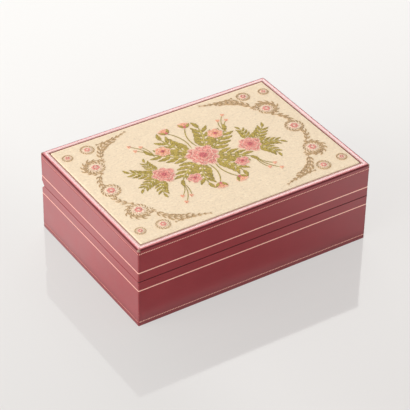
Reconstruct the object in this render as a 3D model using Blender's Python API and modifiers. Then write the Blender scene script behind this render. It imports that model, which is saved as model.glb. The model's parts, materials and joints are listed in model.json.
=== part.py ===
"""A leather presentation box for a watch, closed. A wooden case and its hinged lid are covered
in leather. The lid carries a padded brocade panel, and the case holds a lift-out tray and the
cushion that the watch goes round. Metres, +Z up. The origin is on the table under the middle
of the case, the front faces -Y, and the hinges run along X at the back."""

import math

import bmesh
import bpy
from mathutils import Matrix, Vector

# Outside of the closed case, over its leather
CASE_WIDTH = 0.164
CASE_DEPTH = 0.115
BASE_HEIGHT = 0.0329
LID_HEIGHT = 0.0231
EDGE_ROUND = 0.0009
SEAM_ROUND = 0.0005
ROUND_SEGMENTS = 3
SHARP_DEGREES = 30

# Layers of a wall, from the outside in
LEATHER_THICKNESS = 0.001
WALL_THICKNESS = 0.0065
LINING_THICKNESS = 0.0014
LINING_ROUND = 0.0004

# Boards, the felt under the case and the pad on its floor
FLOOR_THICKNESS = 0.003
TOP_THICKNESS = 0.003
BOARD_ROUND = 0.0003
BOARD_ROUND_SEGMENTS = 1
FELT_PROUD = 0.0004
UNDERSIDE_BORDER = 0.007
FLOOR_PAD_THICKNESS = 0.0012

# Clearances
SEAT_GAP = 0.0003
SEAM_GAP = 0.0003
SWING_GAP = 0.0003
CUT_OVERRUN = 0.002

# The lining stands above the base's rim as a lip, which the lid closes round
LIP_HEIGHT = 0.004
LIP_GAP = 0.0005

# The leather rim of the lid and the padded panel inside it
RIM_WIDTH = 0.0041
CARD_THICKNESS = 0.0006
BROCADE_TURN = 0.0006
BROCADE_EDGE = 0.0014
BROCADE_CROWN = 0.0007
BROCADE_ROUND = 0.0006

# The padded satin panel under the lid's top
SATIN_EDGE = 0.0022
SATIN_CROWN = 0.0022
SATIN_ROUND = 0.0009

# A padded panel's mesh
PANEL_COLUMNS = 16
PANEL_ROWS = 12
PANEL_ROUND_SEGMENTS = 2
CROWN_POWER = 4

# The hinges, and the notch along the back in which their knuckles lie
HINGE_SETBACK = 0.003
OPEN_DEGREES = 95
STOP_DEGREES = 2
HINGE_INSET = 0.034
HINGE_LENGTH = 0.024
KNUCKLE_RADIUS = 0.0016
KNUCKLE_GAP = 0.0003
LEAF_THICKNESS = 0.0012
LEAF_STEP = 0.0002
PIN_RADIUS = 0.0007
PIN_GAP = 0.0002
PIN_END = 0.0004
PIN_ROUND = 0.0002
PIN_ROUND_SEGMENTS = 2
ROUND_SIDES = 20

# The countersunk screws of the hinges
SCREW_HEAD_RADIUS = 0.00095
SCREW_RADIUS = 0.00045
SCREW_HEAD_HEIGHT = 0.0006
SCREW_TIP = 0.0008
SCREW_LENGTH = 0.0055
SCREW_SINK = 0.0001
SCREW_GAP = 0.00015
SCREW_INSET = 0.0035
SLOT_WIDTH = 0.0003
SLOT_DEPTH = 0.00025
SCREW_SIDES = 12

# The tray and the two rests that carry it
TRAY_DROP = 0.005
TRAY_THICKNESS = 0.003
TRAY_GAP = 0.0006
TRAY_ROUND = 0.0008
REST_THICKNESS = 0.004
REST_SETBACK = 0.004
WINDOW_GAP = 0.0016
WINDOW_ROUND = 0.0025
WINDOW_SEGMENTS = 4
ARC_SHARE = 0.5

# The ribbon loop that lifts the tray
TAB_WIDTH = 0.01
TAB_THICKNESS = 0.0004
TAB_RADIUS = 0.0016
TAB_RISE = 0.006
TAB_FOOT = 0.003
TAB_SETBACK = 0.008
TAB_SEGMENTS = 10

# The watch cushion
CUSHION_LENGTH = 0.064
CUSHION_DEPTH = 0.048
CUSHION_HEADROOM = 0.005
CUSHION_CAGE_COUNT = 2
CUSHION_LEVEL_COUNT = 2
CUSHION_WAIST_SHARE = 0.93
CUSHION_EDGE_SHARE = 0.86
CUSHION_FLAT_SHARE = 0.55

# Places worked out from the sizes above: insets from the case's outer faces
wall_outer = LEATHER_THICKNESS + SEAT_GAP
wall_inner = wall_outer + WALL_THICKNESS
lining_outer = wall_inner + SEAT_GAP
lining_inner = lining_outer + LINING_THICKNESS

# Heights in the base
floor_bottom = FELT_PROUD + LEATHER_THICKNESS + SEAT_GAP
floor_top = floor_bottom + FLOOR_THICKNESS
pad_bottom = floor_top + SEAT_GAP
pad_top = pad_bottom + FLOOR_PAD_THICKNESS
base_rim = BASE_HEIGHT - SEAM_GAP / 2
base_wall_top = base_rim - LEATHER_THICKNESS - SEAT_GAP
lip_top = BASE_HEIGHT + LIP_HEIGHT
tray_top = BASE_HEIGHT - TRAY_DROP
tray_bottom = tray_top - TRAY_THICKNESS

# Heights in the lid
lid_rim = BASE_HEIGHT + SEAM_GAP / 2
rim_top = BASE_HEIGHT + LID_HEIGHT
board_top = rim_top - LEATHER_THICKNESS - SEAT_GAP
board_bottom = board_top - TOP_THICKNESS
lid_wall_bottom = lid_rim + LEATHER_THICKNESS + SEAT_GAP
ceiling = board_bottom - SEAT_GAP
satin_bottom = ceiling - SATIN_EDGE - SATIN_CROWN
cushion_bottom = pad_top + SEAT_GAP
cushion_top = satin_bottom - CUSHION_HEADROOM

# The hinge axis, and the slope of the notch's two faces from the seam
hinge_y = CASE_DEPTH / 2 - HINGE_SETBACK
hinge_axis = Vector((0, hinge_y, BASE_HEIGHT))
notch_angle = math.radians((OPEN_DEGREES + STOP_DEGREES) / 2)
notch_rise = HINGE_SETBACK * math.tan(notch_angle)
hinge_places = {"left": HINGE_INSET - CASE_WIDTH / 2, "right": CASE_WIDTH / 2 - HINGE_INSET}
leaf_front = CASE_DEPTH / 2 - wall_inner + SEAT_GAP
knuckle_half = (HINGE_LENGTH - 2 * KNUCKLE_GAP) / 3 / 2
swing_radius = KNUCKLE_RADIUS + SWING_GAP
screw_y = (leaf_front + hinge_y - swing_radius) / 2

# Colour, roughness and metallic value of each finish
FINISHES = {
    "burgundy_leather": ((0.25, 0.045, 0.05), 0.36, 0),
    "case_wood": ((0.45, 0.29, 0.16), 0.6, 0),
    "green_felt": ((0.05, 0.07, 0.05), 0.95, 0),
    "cream_suede": ((0.72, 0.6, 0.45), 0.9, 0),
    "cream_velvet": ((0.76, 0.66, 0.5), 0.85, 0),
    "ivory_satin": ((0.82, 0.74, 0.6), 0.35, 0),
    "backing_card": ((0.55, 0.5, 0.42), 0.9, 0),
    "floral_brocade": ((0.79, 0.67, 0.48), 0.6, 0),
    "hinge_brass": ((0.75, 0.52, 0.2), 0.28, 1),
}

# Sides of the case: the outward direction of each along X and Y
SIDES = {"front": (0, -1), "back": (0, 1), "left": (-1, 0), "right": (1, 0)}


def clear_scene():
    for obj in list(bpy.data.objects):
        bpy.data.objects.remove(obj)


def collection(name, shown=True):
    made = bpy.data.collections.new(name)
    bpy.context.scene.collection.children.link(made)
    made.hide_render = not shown
    return made


def finish(name):
    """The material of this name, made on its first use."""
    if name in bpy.data.materials:
        return bpy.data.materials[name]
    colour, roughness, metallic = FINISHES[name]
    made = bpy.data.materials.new(name)
    made.use_nodes = True
    shader = made.node_tree.nodes["Principled BSDF"]
    shader.inputs["Base Color"].default_value = (*colour, 1)
    shader.inputs["Roughness"].default_value = roughness
    shader.inputs["Metallic"].default_value = metallic
    made.diffuse_color = (*colour, 1)
    return made


def mesh_from(shape, name):
    """A mesh made from a bmesh, which is freed."""
    bmesh.ops.recalc_face_normals(shape, faces=shape.faces)
    mesh = bpy.data.meshes.new(name)
    shape.to_mesh(mesh)
    shape.free()
    mesh.shade_smooth()
    mesh.set_sharp_from_angle(angle=math.radians(SHARP_DEGREES))
    return mesh


def add_piece(name, mesh, material, body=None, place=(0, 0, 0)):
    """A visible object in the box's collection. body is the empty that it moves with."""
    piece = bpy.data.objects.new(name, mesh)
    piece.location = place
    bpy.data.collections["watch_box"].objects.link(piece)
    if body:
        piece.parent = body
        piece.matrix_parent_inverse = Matrix.Translation(-body.location)
    piece.data.materials.clear()
    piece.data.materials.append(finish(material))
    return piece


def add_helper(name, mesh, place=(0, 0, 0)):
    """A cutter, or a shape that is joined to a piece. It isn't part of the box."""
    helper = bpy.data.objects.new(name, mesh)
    helper.location = place
    helper.hide_render = True
    helper.display_type = "WIRE"
    bpy.data.collections["cutters"].objects.link(helper)
    return helper


def add_joint(name, place):
    """An empty on a joint's axis, which the pieces of the moving body hang on."""
    joint = bpy.data.objects.new(name, None)
    joint.location = place
    joint.empty_display_size = LEAF_THICKNESS
    bpy.data.collections["watch_box"].objects.link(joint)
    return joint


def box_shape(low, high):
    """A bmesh box between two corners."""
    low = Vector(low)
    high = Vector(high)
    shape = bmesh.new()
    place = Matrix.Translation((low + high) / 2) @ Matrix.Diagonal(high - low).to_4x4()
    bmesh.ops.create_cube(shape, size=1, matrix=place)
    return shape


def centred_box(name, low, high):
    """A box mesh about its own middle, and the place of that middle."""
    middle = (Vector(low) + Vector(high)) / 2
    return mesh_from(box_shape(Vector(low) - middle, Vector(high) - middle), name), middle


def box_piece(name, low, high, material, body=None, rounding=BOARD_ROUND):
    mesh, middle = centred_box(name, low, high)
    piece = add_piece(name, mesh, material, body, middle)
    round_edges(piece, rounding, BOARD_ROUND_SEGMENTS)
    return piece


def box_cutter(name, low, high):
    mesh, middle = centred_box(name, low, high)
    return add_helper(name, mesh, middle)


def rod_shape(radius, start, end, sides=ROUND_SIDES):
    """A bmesh cylinder along X on the hinge axis, from start to end."""
    shape = bmesh.new()
    turn = Matrix.Rotation(math.radians(90), 4, "Y")
    place = Matrix.Translation(((start + end) / 2, hinge_axis.y, hinge_axis.z))
    bmesh.ops.create_cone(
        shape,
        cap_ends=True,
        segments=sides,
        radius1=radius,
        radius2=radius,
        depth=end - start,
        matrix=place @ turn,
    )
    return shape


def rod_helper(name, radius, start, end):
    return add_helper(name, mesh_from(rod_shape(radius, start, end), name))


def round_edges(piece, width, segments, method="ANGLE"):
    bevel = piece.modifiers.new("rounded_edges", "BEVEL")
    bevel.width = width
    bevel.segments = segments
    bevel.limit_method = method
    return bevel


def combine(piece, other, operation):
    boolean = piece.modifiers.new(f"{operation.lower()}_{other.name}", "BOOLEAN")
    boolean.operation = operation
    boolean.solver = "EXACT"
    boolean.object = other


def cut(piece, *cutters):
    for cutter in cutters:
        combine(piece, cutter, "DIFFERENCE")


def baked(piece):
    """The piece's mesh with its modifiers worked in. The piece itself is removed."""
    bpy.context.view_layer.update()
    evaluated = piece.evaluated_get(bpy.context.evaluated_depsgraph_get())
    mesh = bpy.data.meshes.new_from_object(evaluated)
    mesh.name = piece.name
    bpy.data.objects.remove(piece)
    return mesh


def turned(name, profile, sides):
    """A shape turned about Z. The profile runs from its top down its outer side."""
    mesh = bpy.data.meshes.new(name)
    points = [(radius, 0, height) for radius, height in profile]
    mesh.from_pydata(points, [(i, i + 1) for i in range(len(points) - 1)], [])
    lathe = add_helper(name, mesh)
    screw = lathe.modifiers.new("turn", "SCREW")
    screw.axis = "Z"
    screw.steps = sides
    screw.render_steps = sides
    screw.use_merge_vertices = True
    screw.merge_threshold = SLOT_DEPTH / SCREW_SIDES
    return baked(lathe)


def notch_back_edge(shape, side, inset):
    """Slopes the back edge at the seam, where the hinge lies. side is -1 below it and 1 above."""
    slope = Vector((0, math.sin(notch_angle), -side * math.cos(notch_angle)))
    bmesh.ops.bisect_plane(
        shape,
        geom=shape.verts[:] + shape.edges[:] + shape.faces[:],
        plane_co=hinge_axis - slope * inset,
        plane_no=slope,
        clear_outer=True,
    )
    bmesh.ops.holes_fill(shape, edges=shape.edges[:])


def case_shape(inset, low, high, side):
    """A block as wide and deep as the case less an inset, with the notch of the hinge."""
    x = CASE_WIDTH / 2 - inset
    y = CASE_DEPTH / 2 - inset
    shape = box_shape((-x, -y, low), (x, y, high))
    notch_back_edge(shape, side, inset)
    return shape


def weigh_edges(shape, seam_height):
    """Sets how far each edge is rounded: less along the seam and the notch than elsewhere."""
    weights = shape.edges.layers.float.new("bevel_weight_edge")
    for edge in shape.edges:
        heights = [vertex.co.z for vertex in edge.verts]
        at_seam = max(abs(height - seam_height) for height in heights) < notch_rise + SEAM_GAP
        edge[weights] = SEAM_ROUND / EDGE_ROUND if at_seam else 1


def leather_cover(name, low, high, side, far_border, body, cutters):
    """The leather round one half of the case: its four sides, turned in over the rim at the seam
    and over the far edge, where far_border is the width that shows."""
    shape = case_shape(0, low, high, side)
    weigh_edges(shape, BASE_HEIGHT)
    cover = add_piece(name, mesh_from(shape, name), "burgundy_leather", body)
    round_edges(cover, EDGE_ROUND, ROUND_SEGMENTS, "WEIGHT")
    inner_low = low + LEATHER_THICKNESS
    inner_high = high - LEATHER_THICKNESS
    inside = case_shape(LEATHER_THICKNESS, inner_low, inner_high, side)
    hollow = add_helper(f"{name}_hollow", mesh_from(inside, f"{name}_hollow"))
    middle = (low + high) / 2
    seam = BASE_HEIGHT - side * CUT_OVERRUN
    far = (high if side > 0 else low) + side * CUT_OVERRUN
    mouth = opening_cutter(f"{name}_mouth", wall_inner, sorted((seam, middle)))
    border = opening_cutter(f"{name}_border", far_border, sorted((middle, far)))
    cut(cover, hollow, mouth, border, *cutters)
    return cover


def opening_cutter(name, inset, heights):
    x = CASE_WIDTH / 2 - inset
    y = CASE_DEPTH / 2 - inset
    return box_cutter(name, (-x, -y, heights[0]), (x, y, heights[1]))


def four_boards(half, kind, outer, thickness, low, high, material, body=None, rounding=BOARD_ROUND):
    """Boards along the four sides. The front and back ones run the full width, and the left and
    right ones fit between them."""
    boards = {}
    for side, (along_x, along_y) in SIDES.items():
        x_outer = CASE_WIDTH / 2 - outer
        y_outer = CASE_DEPTH / 2 - outer
        x_inner = x_outer - thickness
        y_inner = y_outer - thickness
        if along_y:
            ends = sorted((along_y * y_inner, along_y * y_outer))
            corners = (-x_outer, ends[0], low), (x_outer, ends[1], high)
        else:
            ends = sorted((along_x * x_inner, along_x * x_outer))
            y = y_inner - SEAT_GAP
            corners = (ends[0], -y, low), (ends[1], y, high)
        name = f"{half}_{side}_{kind}"
        boards[side] = box_piece(name, *corners, material, body, rounding)
    return boards


def notch_wall(wall, side, cutters):
    """Slopes a back wall's edge to the hinge notch, then cuts its seats for the hinges."""
    shape = bmesh.new()
    shape.from_mesh(wall.data)
    bmesh.ops.translate(shape, verts=shape.verts, vec=wall.location)
    notch_back_edge(shape, side, wall_outer)
    bmesh.ops.translate(shape, verts=shape.verts, vec=-wall.location)
    mesh = mesh_from(shape, wall.name)
    mesh.materials.append(wall.data.materials[0])
    wall.data = mesh
    cut(wall, *cutters)


def padded_panel(name, inset, seat, side, edge, crown, rounding, material, body):
    """A flat-backed padded panel on a seat height. side is 1 where it rises and -1 where it
    hangs, edge is its height at its border and crown what its middle adds."""
    half_x = CASE_WIDTH / 2 - inset
    half_y = CASE_DEPTH / 2 - inset
    shape = bmesh.new()
    bmesh.ops.create_grid(shape, x_segments=PANEL_COLUMNS, y_segments=PANEL_ROWS, size=1)
    for vertex in shape.verts:
        u, v, _ = vertex.co
        swell = (1 - abs(u) ** CROWN_POWER) * (1 - abs(v) ** CROWN_POWER)
        vertex.co = half_x * u, half_y * v, seat + side * (edge + crown * swell)
    border = [item for item in shape.edges if item.is_boundary]
    skirt = bmesh.ops.extrude_edge_only(shape, edges=border)["geom"]
    for vertex in [item for item in skirt if isinstance(item, bmesh.types.BMVert)]:
        vertex.co.z = seat
    bmesh.ops.holes_fill(shape, edges=shape.edges[:])
    panel = add_piece(name, mesh_from(shape, name), material, body)
    round_edges(panel, rounding, PANEL_ROUND_SEGMENTS)
    return panel


def screw_profile(gap):
    """A countersunk screw's outline about Z, its head's top face at height zero, grown by a gap."""
    top = [(0, 0), (SCREW_HEAD_RADIUS, 0)]
    if gap:
        top = [(0, CUT_OVERRUN), (SCREW_HEAD_RADIUS + gap, CUT_OVERRUN), (SCREW_HEAD_RADIUS + gap, 0)]
    shank = SCREW_RADIUS + gap
    return top + [
        (shank, -SCREW_HEAD_HEIGHT),
        (shank, SCREW_TIP - SCREW_LENGTH - gap),
        (0, -SCREW_LENGTH - gap),
    ]


def screw_mesh():
    """One slotted screw, which all the screws share."""
    source = add_helper("screw", turned("screw_body", screw_profile(0), SCREW_SIDES))
    half = SLOT_WIDTH / 2
    reach = SCREW_HEAD_RADIUS + CUT_OVERRUN
    slot = box_cutter("screw_slot", (-half, -reach, -SLOT_DEPTH), (half, reach, CUT_OVERRUN))
    cut(source, slot)
    return baked(source)


def screw_places(hinge_x):
    reach = HINGE_LENGTH / 2 - SCREW_INSET
    return [hinge_x - reach, hinge_x + reach]


def screw_matrix(x, side):
    """Where a screw's head lies. Below the seam it points down, and above the seam up."""
    height = BASE_HEIGHT + side * (SEAM_GAP / 2 + SCREW_SINK)
    turn = Matrix.Rotation(math.radians(180 if side > 0 else 0), 4, "X")
    return Matrix.Translation((x, screw_y, height)) @ turn


def hinge_cutters(side):
    """What the hinges need cut from the wood and leather of one half of the case."""
    cutters = []
    reach = HINGE_LENGTH / 2
    surface = BASE_HEIGHT - side * CUT_OVERRUN
    bed = BASE_HEIGHT + side * (SEAM_GAP / 2 + LEAF_THICKNESS + SEAT_GAP)
    low, high = sorted((surface, bed))
    half_name = "base" if side < 0 else "lid"
    for hand, x in hinge_places.items():
        pocket_end = reach + PIN_END + SEAT_GAP
        pocket = rod_helper(
            f"{half_name}_{hand}_knuckle_pocket", swing_radius, x - pocket_end, x + pocket_end
        )
        seat_end = reach - LEAF_STEP + SEAT_GAP
        front = leaf_front - SEAT_GAP - CUT_OVERRUN
        seat = box_cutter(
            f"{half_name}_{hand}_leaf_seat", (x - seat_end, front, low), (x + seat_end, hinge_y, high)
        )
        cutters += [pocket, seat]
    return cutters


def screw_holes(side):
    mesh = turned(f"screw_hole_{'base' if side < 0 else 'lid'}", screw_profile(SCREW_GAP), SCREW_SIDES)
    holes = []
    for hand, hinge_x in hinge_places.items():
        for number, x in enumerate(screw_places(hinge_x), 1):
            hole = add_helper(f"{mesh.name}_{hand}_{number}", mesh)
            hole.matrix_world = screw_matrix(x, side)
            holes.append(hole)
    return holes


def hinge_leaf(hand, x, side, holes, body):
    """A leaf of one hinge: its plate in the rim and its knuckles round the pin. The base's leaf
    has the two outer knuckles, and the lid's the middle one."""
    name = f"{hand}_hinge_{'base' if side < 0 else 'lid'}_leaf"
    reach = HINGE_LENGTH / 2
    plate_end = reach - LEAF_STEP
    face = BASE_HEIGHT + side * SEAM_GAP / 2
    low, high = sorted((face, face + side * LEAF_THICKNESS))
    mesh, middle = centred_box(name, (x - plate_end, leaf_front, low), (x + plate_end, hinge_y, high))
    leaf = add_piece(name, mesh, "hinge_brass", body, middle)
    outer = [(-reach, -knuckle_half - KNUCKLE_GAP), (knuckle_half + KNUCKLE_GAP, reach)]
    inner = [(-knuckle_half, knuckle_half)]
    own, others = (outer, inner) if side < 0 else (inner, outer)
    slack = KNUCKLE_GAP + LEAF_STEP
    for number, (start, end) in enumerate(others, 1):
        room = rod_helper(f"{name}_room_{number}", swing_radius, x + start - slack, x + end + slack)
        cut(leaf, room)
    for number, (start, end) in enumerate(own, 1):
        knuckle = rod_helper(f"{name}_knuckle_{number}", KNUCKLE_RADIUS, x + start, x + end)
        combine(leaf, knuckle, "UNION")
    bore_end = reach + CUT_OVERRUN
    bore = rod_helper(f"{name}_bore", PIN_RADIUS + PIN_GAP, x - bore_end, x + bore_end)
    cut(leaf, bore, *holes)
    return leaf


def hinge_pin(hand, x):
    name = f"{hand}_hinge_pin"
    reach = HINGE_LENGTH / 2 + PIN_END
    pin = add_piece(name, mesh_from(rod_shape(PIN_RADIUS, x - reach, x + reach), name), "hinge_brass")
    round_edges(pin, PIN_ROUND, PIN_ROUND_SEGMENTS)
    return pin


def hinges(lid_joint, holes):
    """Two brass hinges with their pins and screws."""
    screw = screw_mesh()
    for hand, x in hinge_places.items():
        hinge_pin(hand, x)
        for side, half, body in ((-1, "base", None), (1, "lid", lid_joint)):
            near = [hole for hole in holes[side] if hole.name.split("_")[-2] == hand]
            hinge_leaf(hand, x, side, near, body)
            for number, screw_x in enumerate(screw_places(x), 1):
                name = f"{hand}_hinge_{half}_screw_{number}"
                piece = add_piece(name, screw, "hinge_brass", body)
                piece.matrix_world = screw_matrix(screw_x, side)


def base(cutters, holes):
    """The lower half: floor, walls, leather, felt and lining."""
    x = CASE_WIDTH / 2 - wall_outer
    y = CASE_DEPTH / 2 - wall_outer
    box_piece("base_floor_board", (-x, -y, floor_bottom), (x, y, floor_top), "case_wood")
    walls = four_boards(
        "base", "wall", wall_outer, WALL_THICKNESS, floor_top + SEAT_GAP, base_wall_top, "case_wood"
    )
    notch_wall(walls["back"], -1, cutters + holes)
    leather_cover("base_leather_cover", FELT_PROUD, base_rim, -1, UNDERSIDE_BORDER, None, cutters)
    felt_x = CASE_WIDTH / 2 - UNDERSIDE_BORDER - SEAT_GAP
    felt_y = CASE_DEPTH / 2 - UNDERSIDE_BORDER - SEAT_GAP
    felt_top = floor_bottom - SEAT_GAP
    box_piece("underside_felt", (-felt_x, -felt_y, 0), (felt_x, felt_y, felt_top), "green_felt")
    four_boards(
        "base", "lining", lining_outer, LINING_THICKNESS, pad_bottom, lip_top, "cream_suede",
        rounding=LINING_ROUND,
    )
    pad_x = CASE_WIDTH / 2 - lining_inner - SEAT_GAP
    pad_y = CASE_DEPTH / 2 - lining_inner - SEAT_GAP
    box_piece("base_floor_pad", (-pad_x, -pad_y, pad_bottom), (pad_x, pad_y, pad_top), "cream_velvet")


def lid(joint, cutters, holes):
    """The upper half: top board, walls, leather, brocade panel, lining and satin panel."""
    x = CASE_WIDTH / 2 - wall_outer
    y = CASE_DEPTH / 2 - wall_outer
    box_piece("lid_top_board", (-x, -y, board_bottom), (x, y, board_top), "case_wood", joint)
    walls = four_boards(
        "lid", "wall", wall_outer, WALL_THICKNESS, lid_wall_bottom, ceiling, "case_wood", joint
    )
    notch_wall(walls["back"], 1, cutters + holes)
    leather_cover("lid_leather_cover", lid_rim, rim_top, 1, RIM_WIDTH, joint, cutters)
    brocade(joint)
    four_boards(
        "lid", "lining", lining_outer, LINING_THICKNESS, lip_top + LIP_GAP, ceiling, "cream_suede",
        joint, LINING_ROUND,
    )
    padded_panel(
        "lid_satin_panel", lining_inner + SEAT_GAP, ceiling, -1, SATIN_EDGE, SATIN_CROWN, SATIN_ROUND,
        "ivory_satin", joint,
    )


def brocade(joint):
    """The brocade is padded over a card and turned down round its edges, inside the leather rim."""
    seat = board_top + SEAT_GAP
    edge = RIM_WIDTH + SEAT_GAP
    panel = padded_panel(
        "brocade_panel", edge, seat, 1, BROCADE_EDGE, BROCADE_CROWN, BROCADE_ROUND,
        "floral_brocade", joint,
    )
    hollow = opening_cutter(
        "brocade_hollow", edge + BROCADE_TURN, (seat - CUT_OVERRUN, seat + CARD_THICKNESS + SEAT_GAP)
    )
    cut(panel, hollow)
    card_x = CASE_WIDTH / 2 - edge - BROCADE_TURN - SEAT_GAP
    card_y = CASE_DEPTH / 2 - edge - BROCADE_TURN - SEAT_GAP
    mesh, middle = centred_box(
        "brocade_card", (-card_x, -card_y, seat), (card_x, card_y, seat + CARD_THICKNESS)
    )
    add_piece("brocade_card", mesh, "backing_card", joint, middle)


def tray(joint):
    """The lift-out tray, with a window for the cushion and a ribbon loop to lift it by."""
    x = CASE_WIDTH / 2 - lining_inner - TRAY_GAP
    y = CASE_DEPTH / 2 - lining_inner - TRAY_GAP
    board = box_piece(
        "insert_tray", (-x, -y, tray_bottom), (x, y, tray_top), "cream_velvet", joint, TRAY_ROUND
    )
    window_x = CUSHION_LENGTH / 2 + WINDOW_GAP
    window_y = CUSHION_DEPTH / 2 + WINDOW_GAP
    shape = box_shape(
        (-window_x, -window_y, tray_bottom - CUT_OVERRUN), (window_x, window_y, tray_top + CUT_OVERRUN)
    )
    posts = [edge for edge in shape.edges if edge.verts[0].co.xy == edge.verts[1].co.xy]
    bmesh.ops.bevel(
        shape, geom=posts, offset=WINDOW_ROUND, segments=WINDOW_SEGMENTS, profile=ARC_SHARE,
        affect="EDGES",
    )
    cut(board, add_helper("tray_window", mesh_from(shape, "tray_window")))
    ribbon_tab(joint, -y + TAB_SETBACK)


def ribbon_tab(joint, y):
    """A ribbon bent into a loop, with a foot on each side that is glued to the tray."""
    base_z = tray_top + SEAT_GAP + TAB_THICKNESS / 2
    outline = [(-TAB_RADIUS - TAB_FOOT, 0), (-TAB_RADIUS, 0)]
    for step in range(TAB_SEGMENTS + 1):
        angle = math.pi * step / TAB_SEGMENTS
        outline.append((-TAB_RADIUS * math.cos(angle), TAB_RISE + TAB_RADIUS * math.sin(angle)))
    outline += [(TAB_RADIUS, 0), (TAB_RADIUS + TAB_FOOT, 0)]
    shape = bmesh.new()
    line = [shape.verts.new((-TAB_WIDTH / 2, y + across, base_z + up)) for across, up in outline]
    edges = [shape.edges.new(pair) for pair in zip(line, line[1:])]
    made = bmesh.ops.extrude_edge_only(shape, edges=edges)["geom"]
    moved = [item for item in made if isinstance(item, bmesh.types.BMVert)]
    bmesh.ops.translate(shape, verts=moved, vec=(TAB_WIDTH, 0, 0))
    tab = add_piece("ribbon_tab", mesh_from(shape, "ribbon_tab"), "ivory_satin", joint)
    wall = tab.modifiers.new("ribbon_thickness", "SOLIDIFY")
    wall.thickness = TAB_THICKNESS
    wall.offset = 0


def tray_rests():
    """Two upright boards on the floor pad, one at each end, that carry the tray."""
    outer = CASE_WIDTH / 2 - lining_inner - TRAY_GAP
    y = CASE_DEPTH / 2 - lining_inner - REST_SETBACK
    low = pad_top + SEAT_GAP
    high = tray_bottom - SEAT_GAP
    for hand, side in (("left", -1), ("right", 1)):
        ends = sorted((side * (outer - REST_THICKNESS), side * outer))
        box_piece(f"{hand}_tray_rest", (ends[0], -y, low), (ends[1], y, high), "cream_suede")


def watch_cushion(joint):
    """A soft cushion with a crown, drawn-in ends and sides and a flat foot. The watch's strap
    goes round it across its length."""
    shape = bmesh.new()
    bmesh.ops.create_cube(shape, size=2)
    bmesh.ops.subdivide_edges(shape, edges=shape.edges[:], cuts=CUSHION_CAGE_COUNT, use_grid_fill=True)
    height = cushion_top - cushion_bottom
    for vertex in shape.verts:
        x, y, z = vertex.co
        corner = CUSHION_EDGE_SHARE if abs(x) == 1 and abs(y) == 1 else 1
        waist = CUSHION_WAIST_SHARE if abs(x) == 1 and abs(y) < 1 else 1
        roll = CUSHION_FLAT_SHARE if abs(z) == 1 and abs(y) == 1 else 1
        vertex.co = x * waist * corner, y * corner * roll, z
    levels = add_helper("cushion_cage", mesh_from(shape, "cushion_cage"))
    soft = levels.modifiers.new("soft", "SUBSURF")
    soft.levels = CUSHION_LEVEL_COUNT
    soft.render_levels = CUSHION_LEVEL_COUNT
    mesh = baked(levels)
    reach = [max(abs(vertex.co[axis]) for vertex in mesh.vertices) for axis in range(3)]
    size = Vector((CUSHION_LENGTH / 2 / reach[0], CUSHION_DEPTH / 2 / reach[1], height / 2 / reach[2]))
    mesh.transform(Matrix.Diagonal(size).to_4x4())
    mesh.shade_smooth()
    add_piece("watch_cushion", mesh, "cream_velvet", joint, (0, 0, (cushion_bottom + cushion_top) / 2))


def main():
    clear_scene()
    collection("watch_box")
    collection("cutters", shown=False)
    lid_joint = add_joint("lid_hinge", hinge_axis)
    tray_joint = add_joint("tray_lift", (0, 0, tray_bottom))
    cushion_joint = add_joint("cushion_lift", (0, 0, cushion_bottom))
    holes = {side: screw_holes(side) for side in (-1, 1)}
    base(hinge_cutters(-1), holes[-1])
    lid(lid_joint, hinge_cutters(1), holes[1])
    hinges(lid_joint, holes)
    tray_rests()
    tray(tray_joint)
    watch_cushion(cushion_joint)


main()
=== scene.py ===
"""The looks of a leather watch box: glazed burgundy leather with gilt lines, a padded floral
brocade on the lid, a suede, velvet and satin interior, and brass hinges. Metres, +Z up. The front
faces -Y, the hinges run along X at the back, and the box stands on the floor at the origin."""

import json
import math
from contextlib import contextmanager
from functools import partialmethod

import bmesh
import bpy
from bpy.props import FloatProperty, FloatVectorProperty, IntProperty, PointerProperty
from mathutils import Matrix, Vector
from mathutils.bvhtree import BVHTree


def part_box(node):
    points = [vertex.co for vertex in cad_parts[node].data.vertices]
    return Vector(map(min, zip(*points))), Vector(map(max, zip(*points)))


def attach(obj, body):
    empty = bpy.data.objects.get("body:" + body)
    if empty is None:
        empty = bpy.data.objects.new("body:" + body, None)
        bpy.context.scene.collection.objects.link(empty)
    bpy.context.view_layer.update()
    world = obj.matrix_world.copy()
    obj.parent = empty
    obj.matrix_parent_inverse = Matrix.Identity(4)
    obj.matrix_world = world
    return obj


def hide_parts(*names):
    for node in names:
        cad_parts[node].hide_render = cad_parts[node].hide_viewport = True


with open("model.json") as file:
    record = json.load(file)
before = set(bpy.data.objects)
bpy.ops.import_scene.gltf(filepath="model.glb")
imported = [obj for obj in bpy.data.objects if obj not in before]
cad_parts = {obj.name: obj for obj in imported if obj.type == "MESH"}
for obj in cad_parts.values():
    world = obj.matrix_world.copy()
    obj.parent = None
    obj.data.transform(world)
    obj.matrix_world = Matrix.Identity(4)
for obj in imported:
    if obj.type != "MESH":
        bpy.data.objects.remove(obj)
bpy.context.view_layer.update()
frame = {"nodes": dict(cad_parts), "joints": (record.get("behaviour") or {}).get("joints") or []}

bl_info = {
    "name": "Leather Watch Box",
    "version": (1, 0, 0),
    "blender": (4, 5, 0),
    "location": "3D View > Sidebar > Watch Box",
    "description": "Dresses the solids of a watch box in leather, gilt, brocade, velvet and brass",
    "category": "Object",
}

MM = 0.001
TINY = 0.000001

# The leather: clearance round what it is cut for, depth of a hinge leaf's bed, how far it turns in
GAP = 0.3 * MM
LEAF_BED = 1.65 * MM
TURN_IN = 5 * MM

# How far from the seam an edge belongs to it, and how far a cutter reaches past the leather
SEAM_REACH = 5 * MM
THROUGH = 3 * MM

# Degrees that the notch at the back opens past the hinge's limit
NOTCH_SPARE = 2

# The leather's material slots, in the order of leather_finishes
PLAIN_GILT = 1
BEADED_GILT = 2
RIM_LEATHER = 3
RIM_GILT = 4

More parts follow.
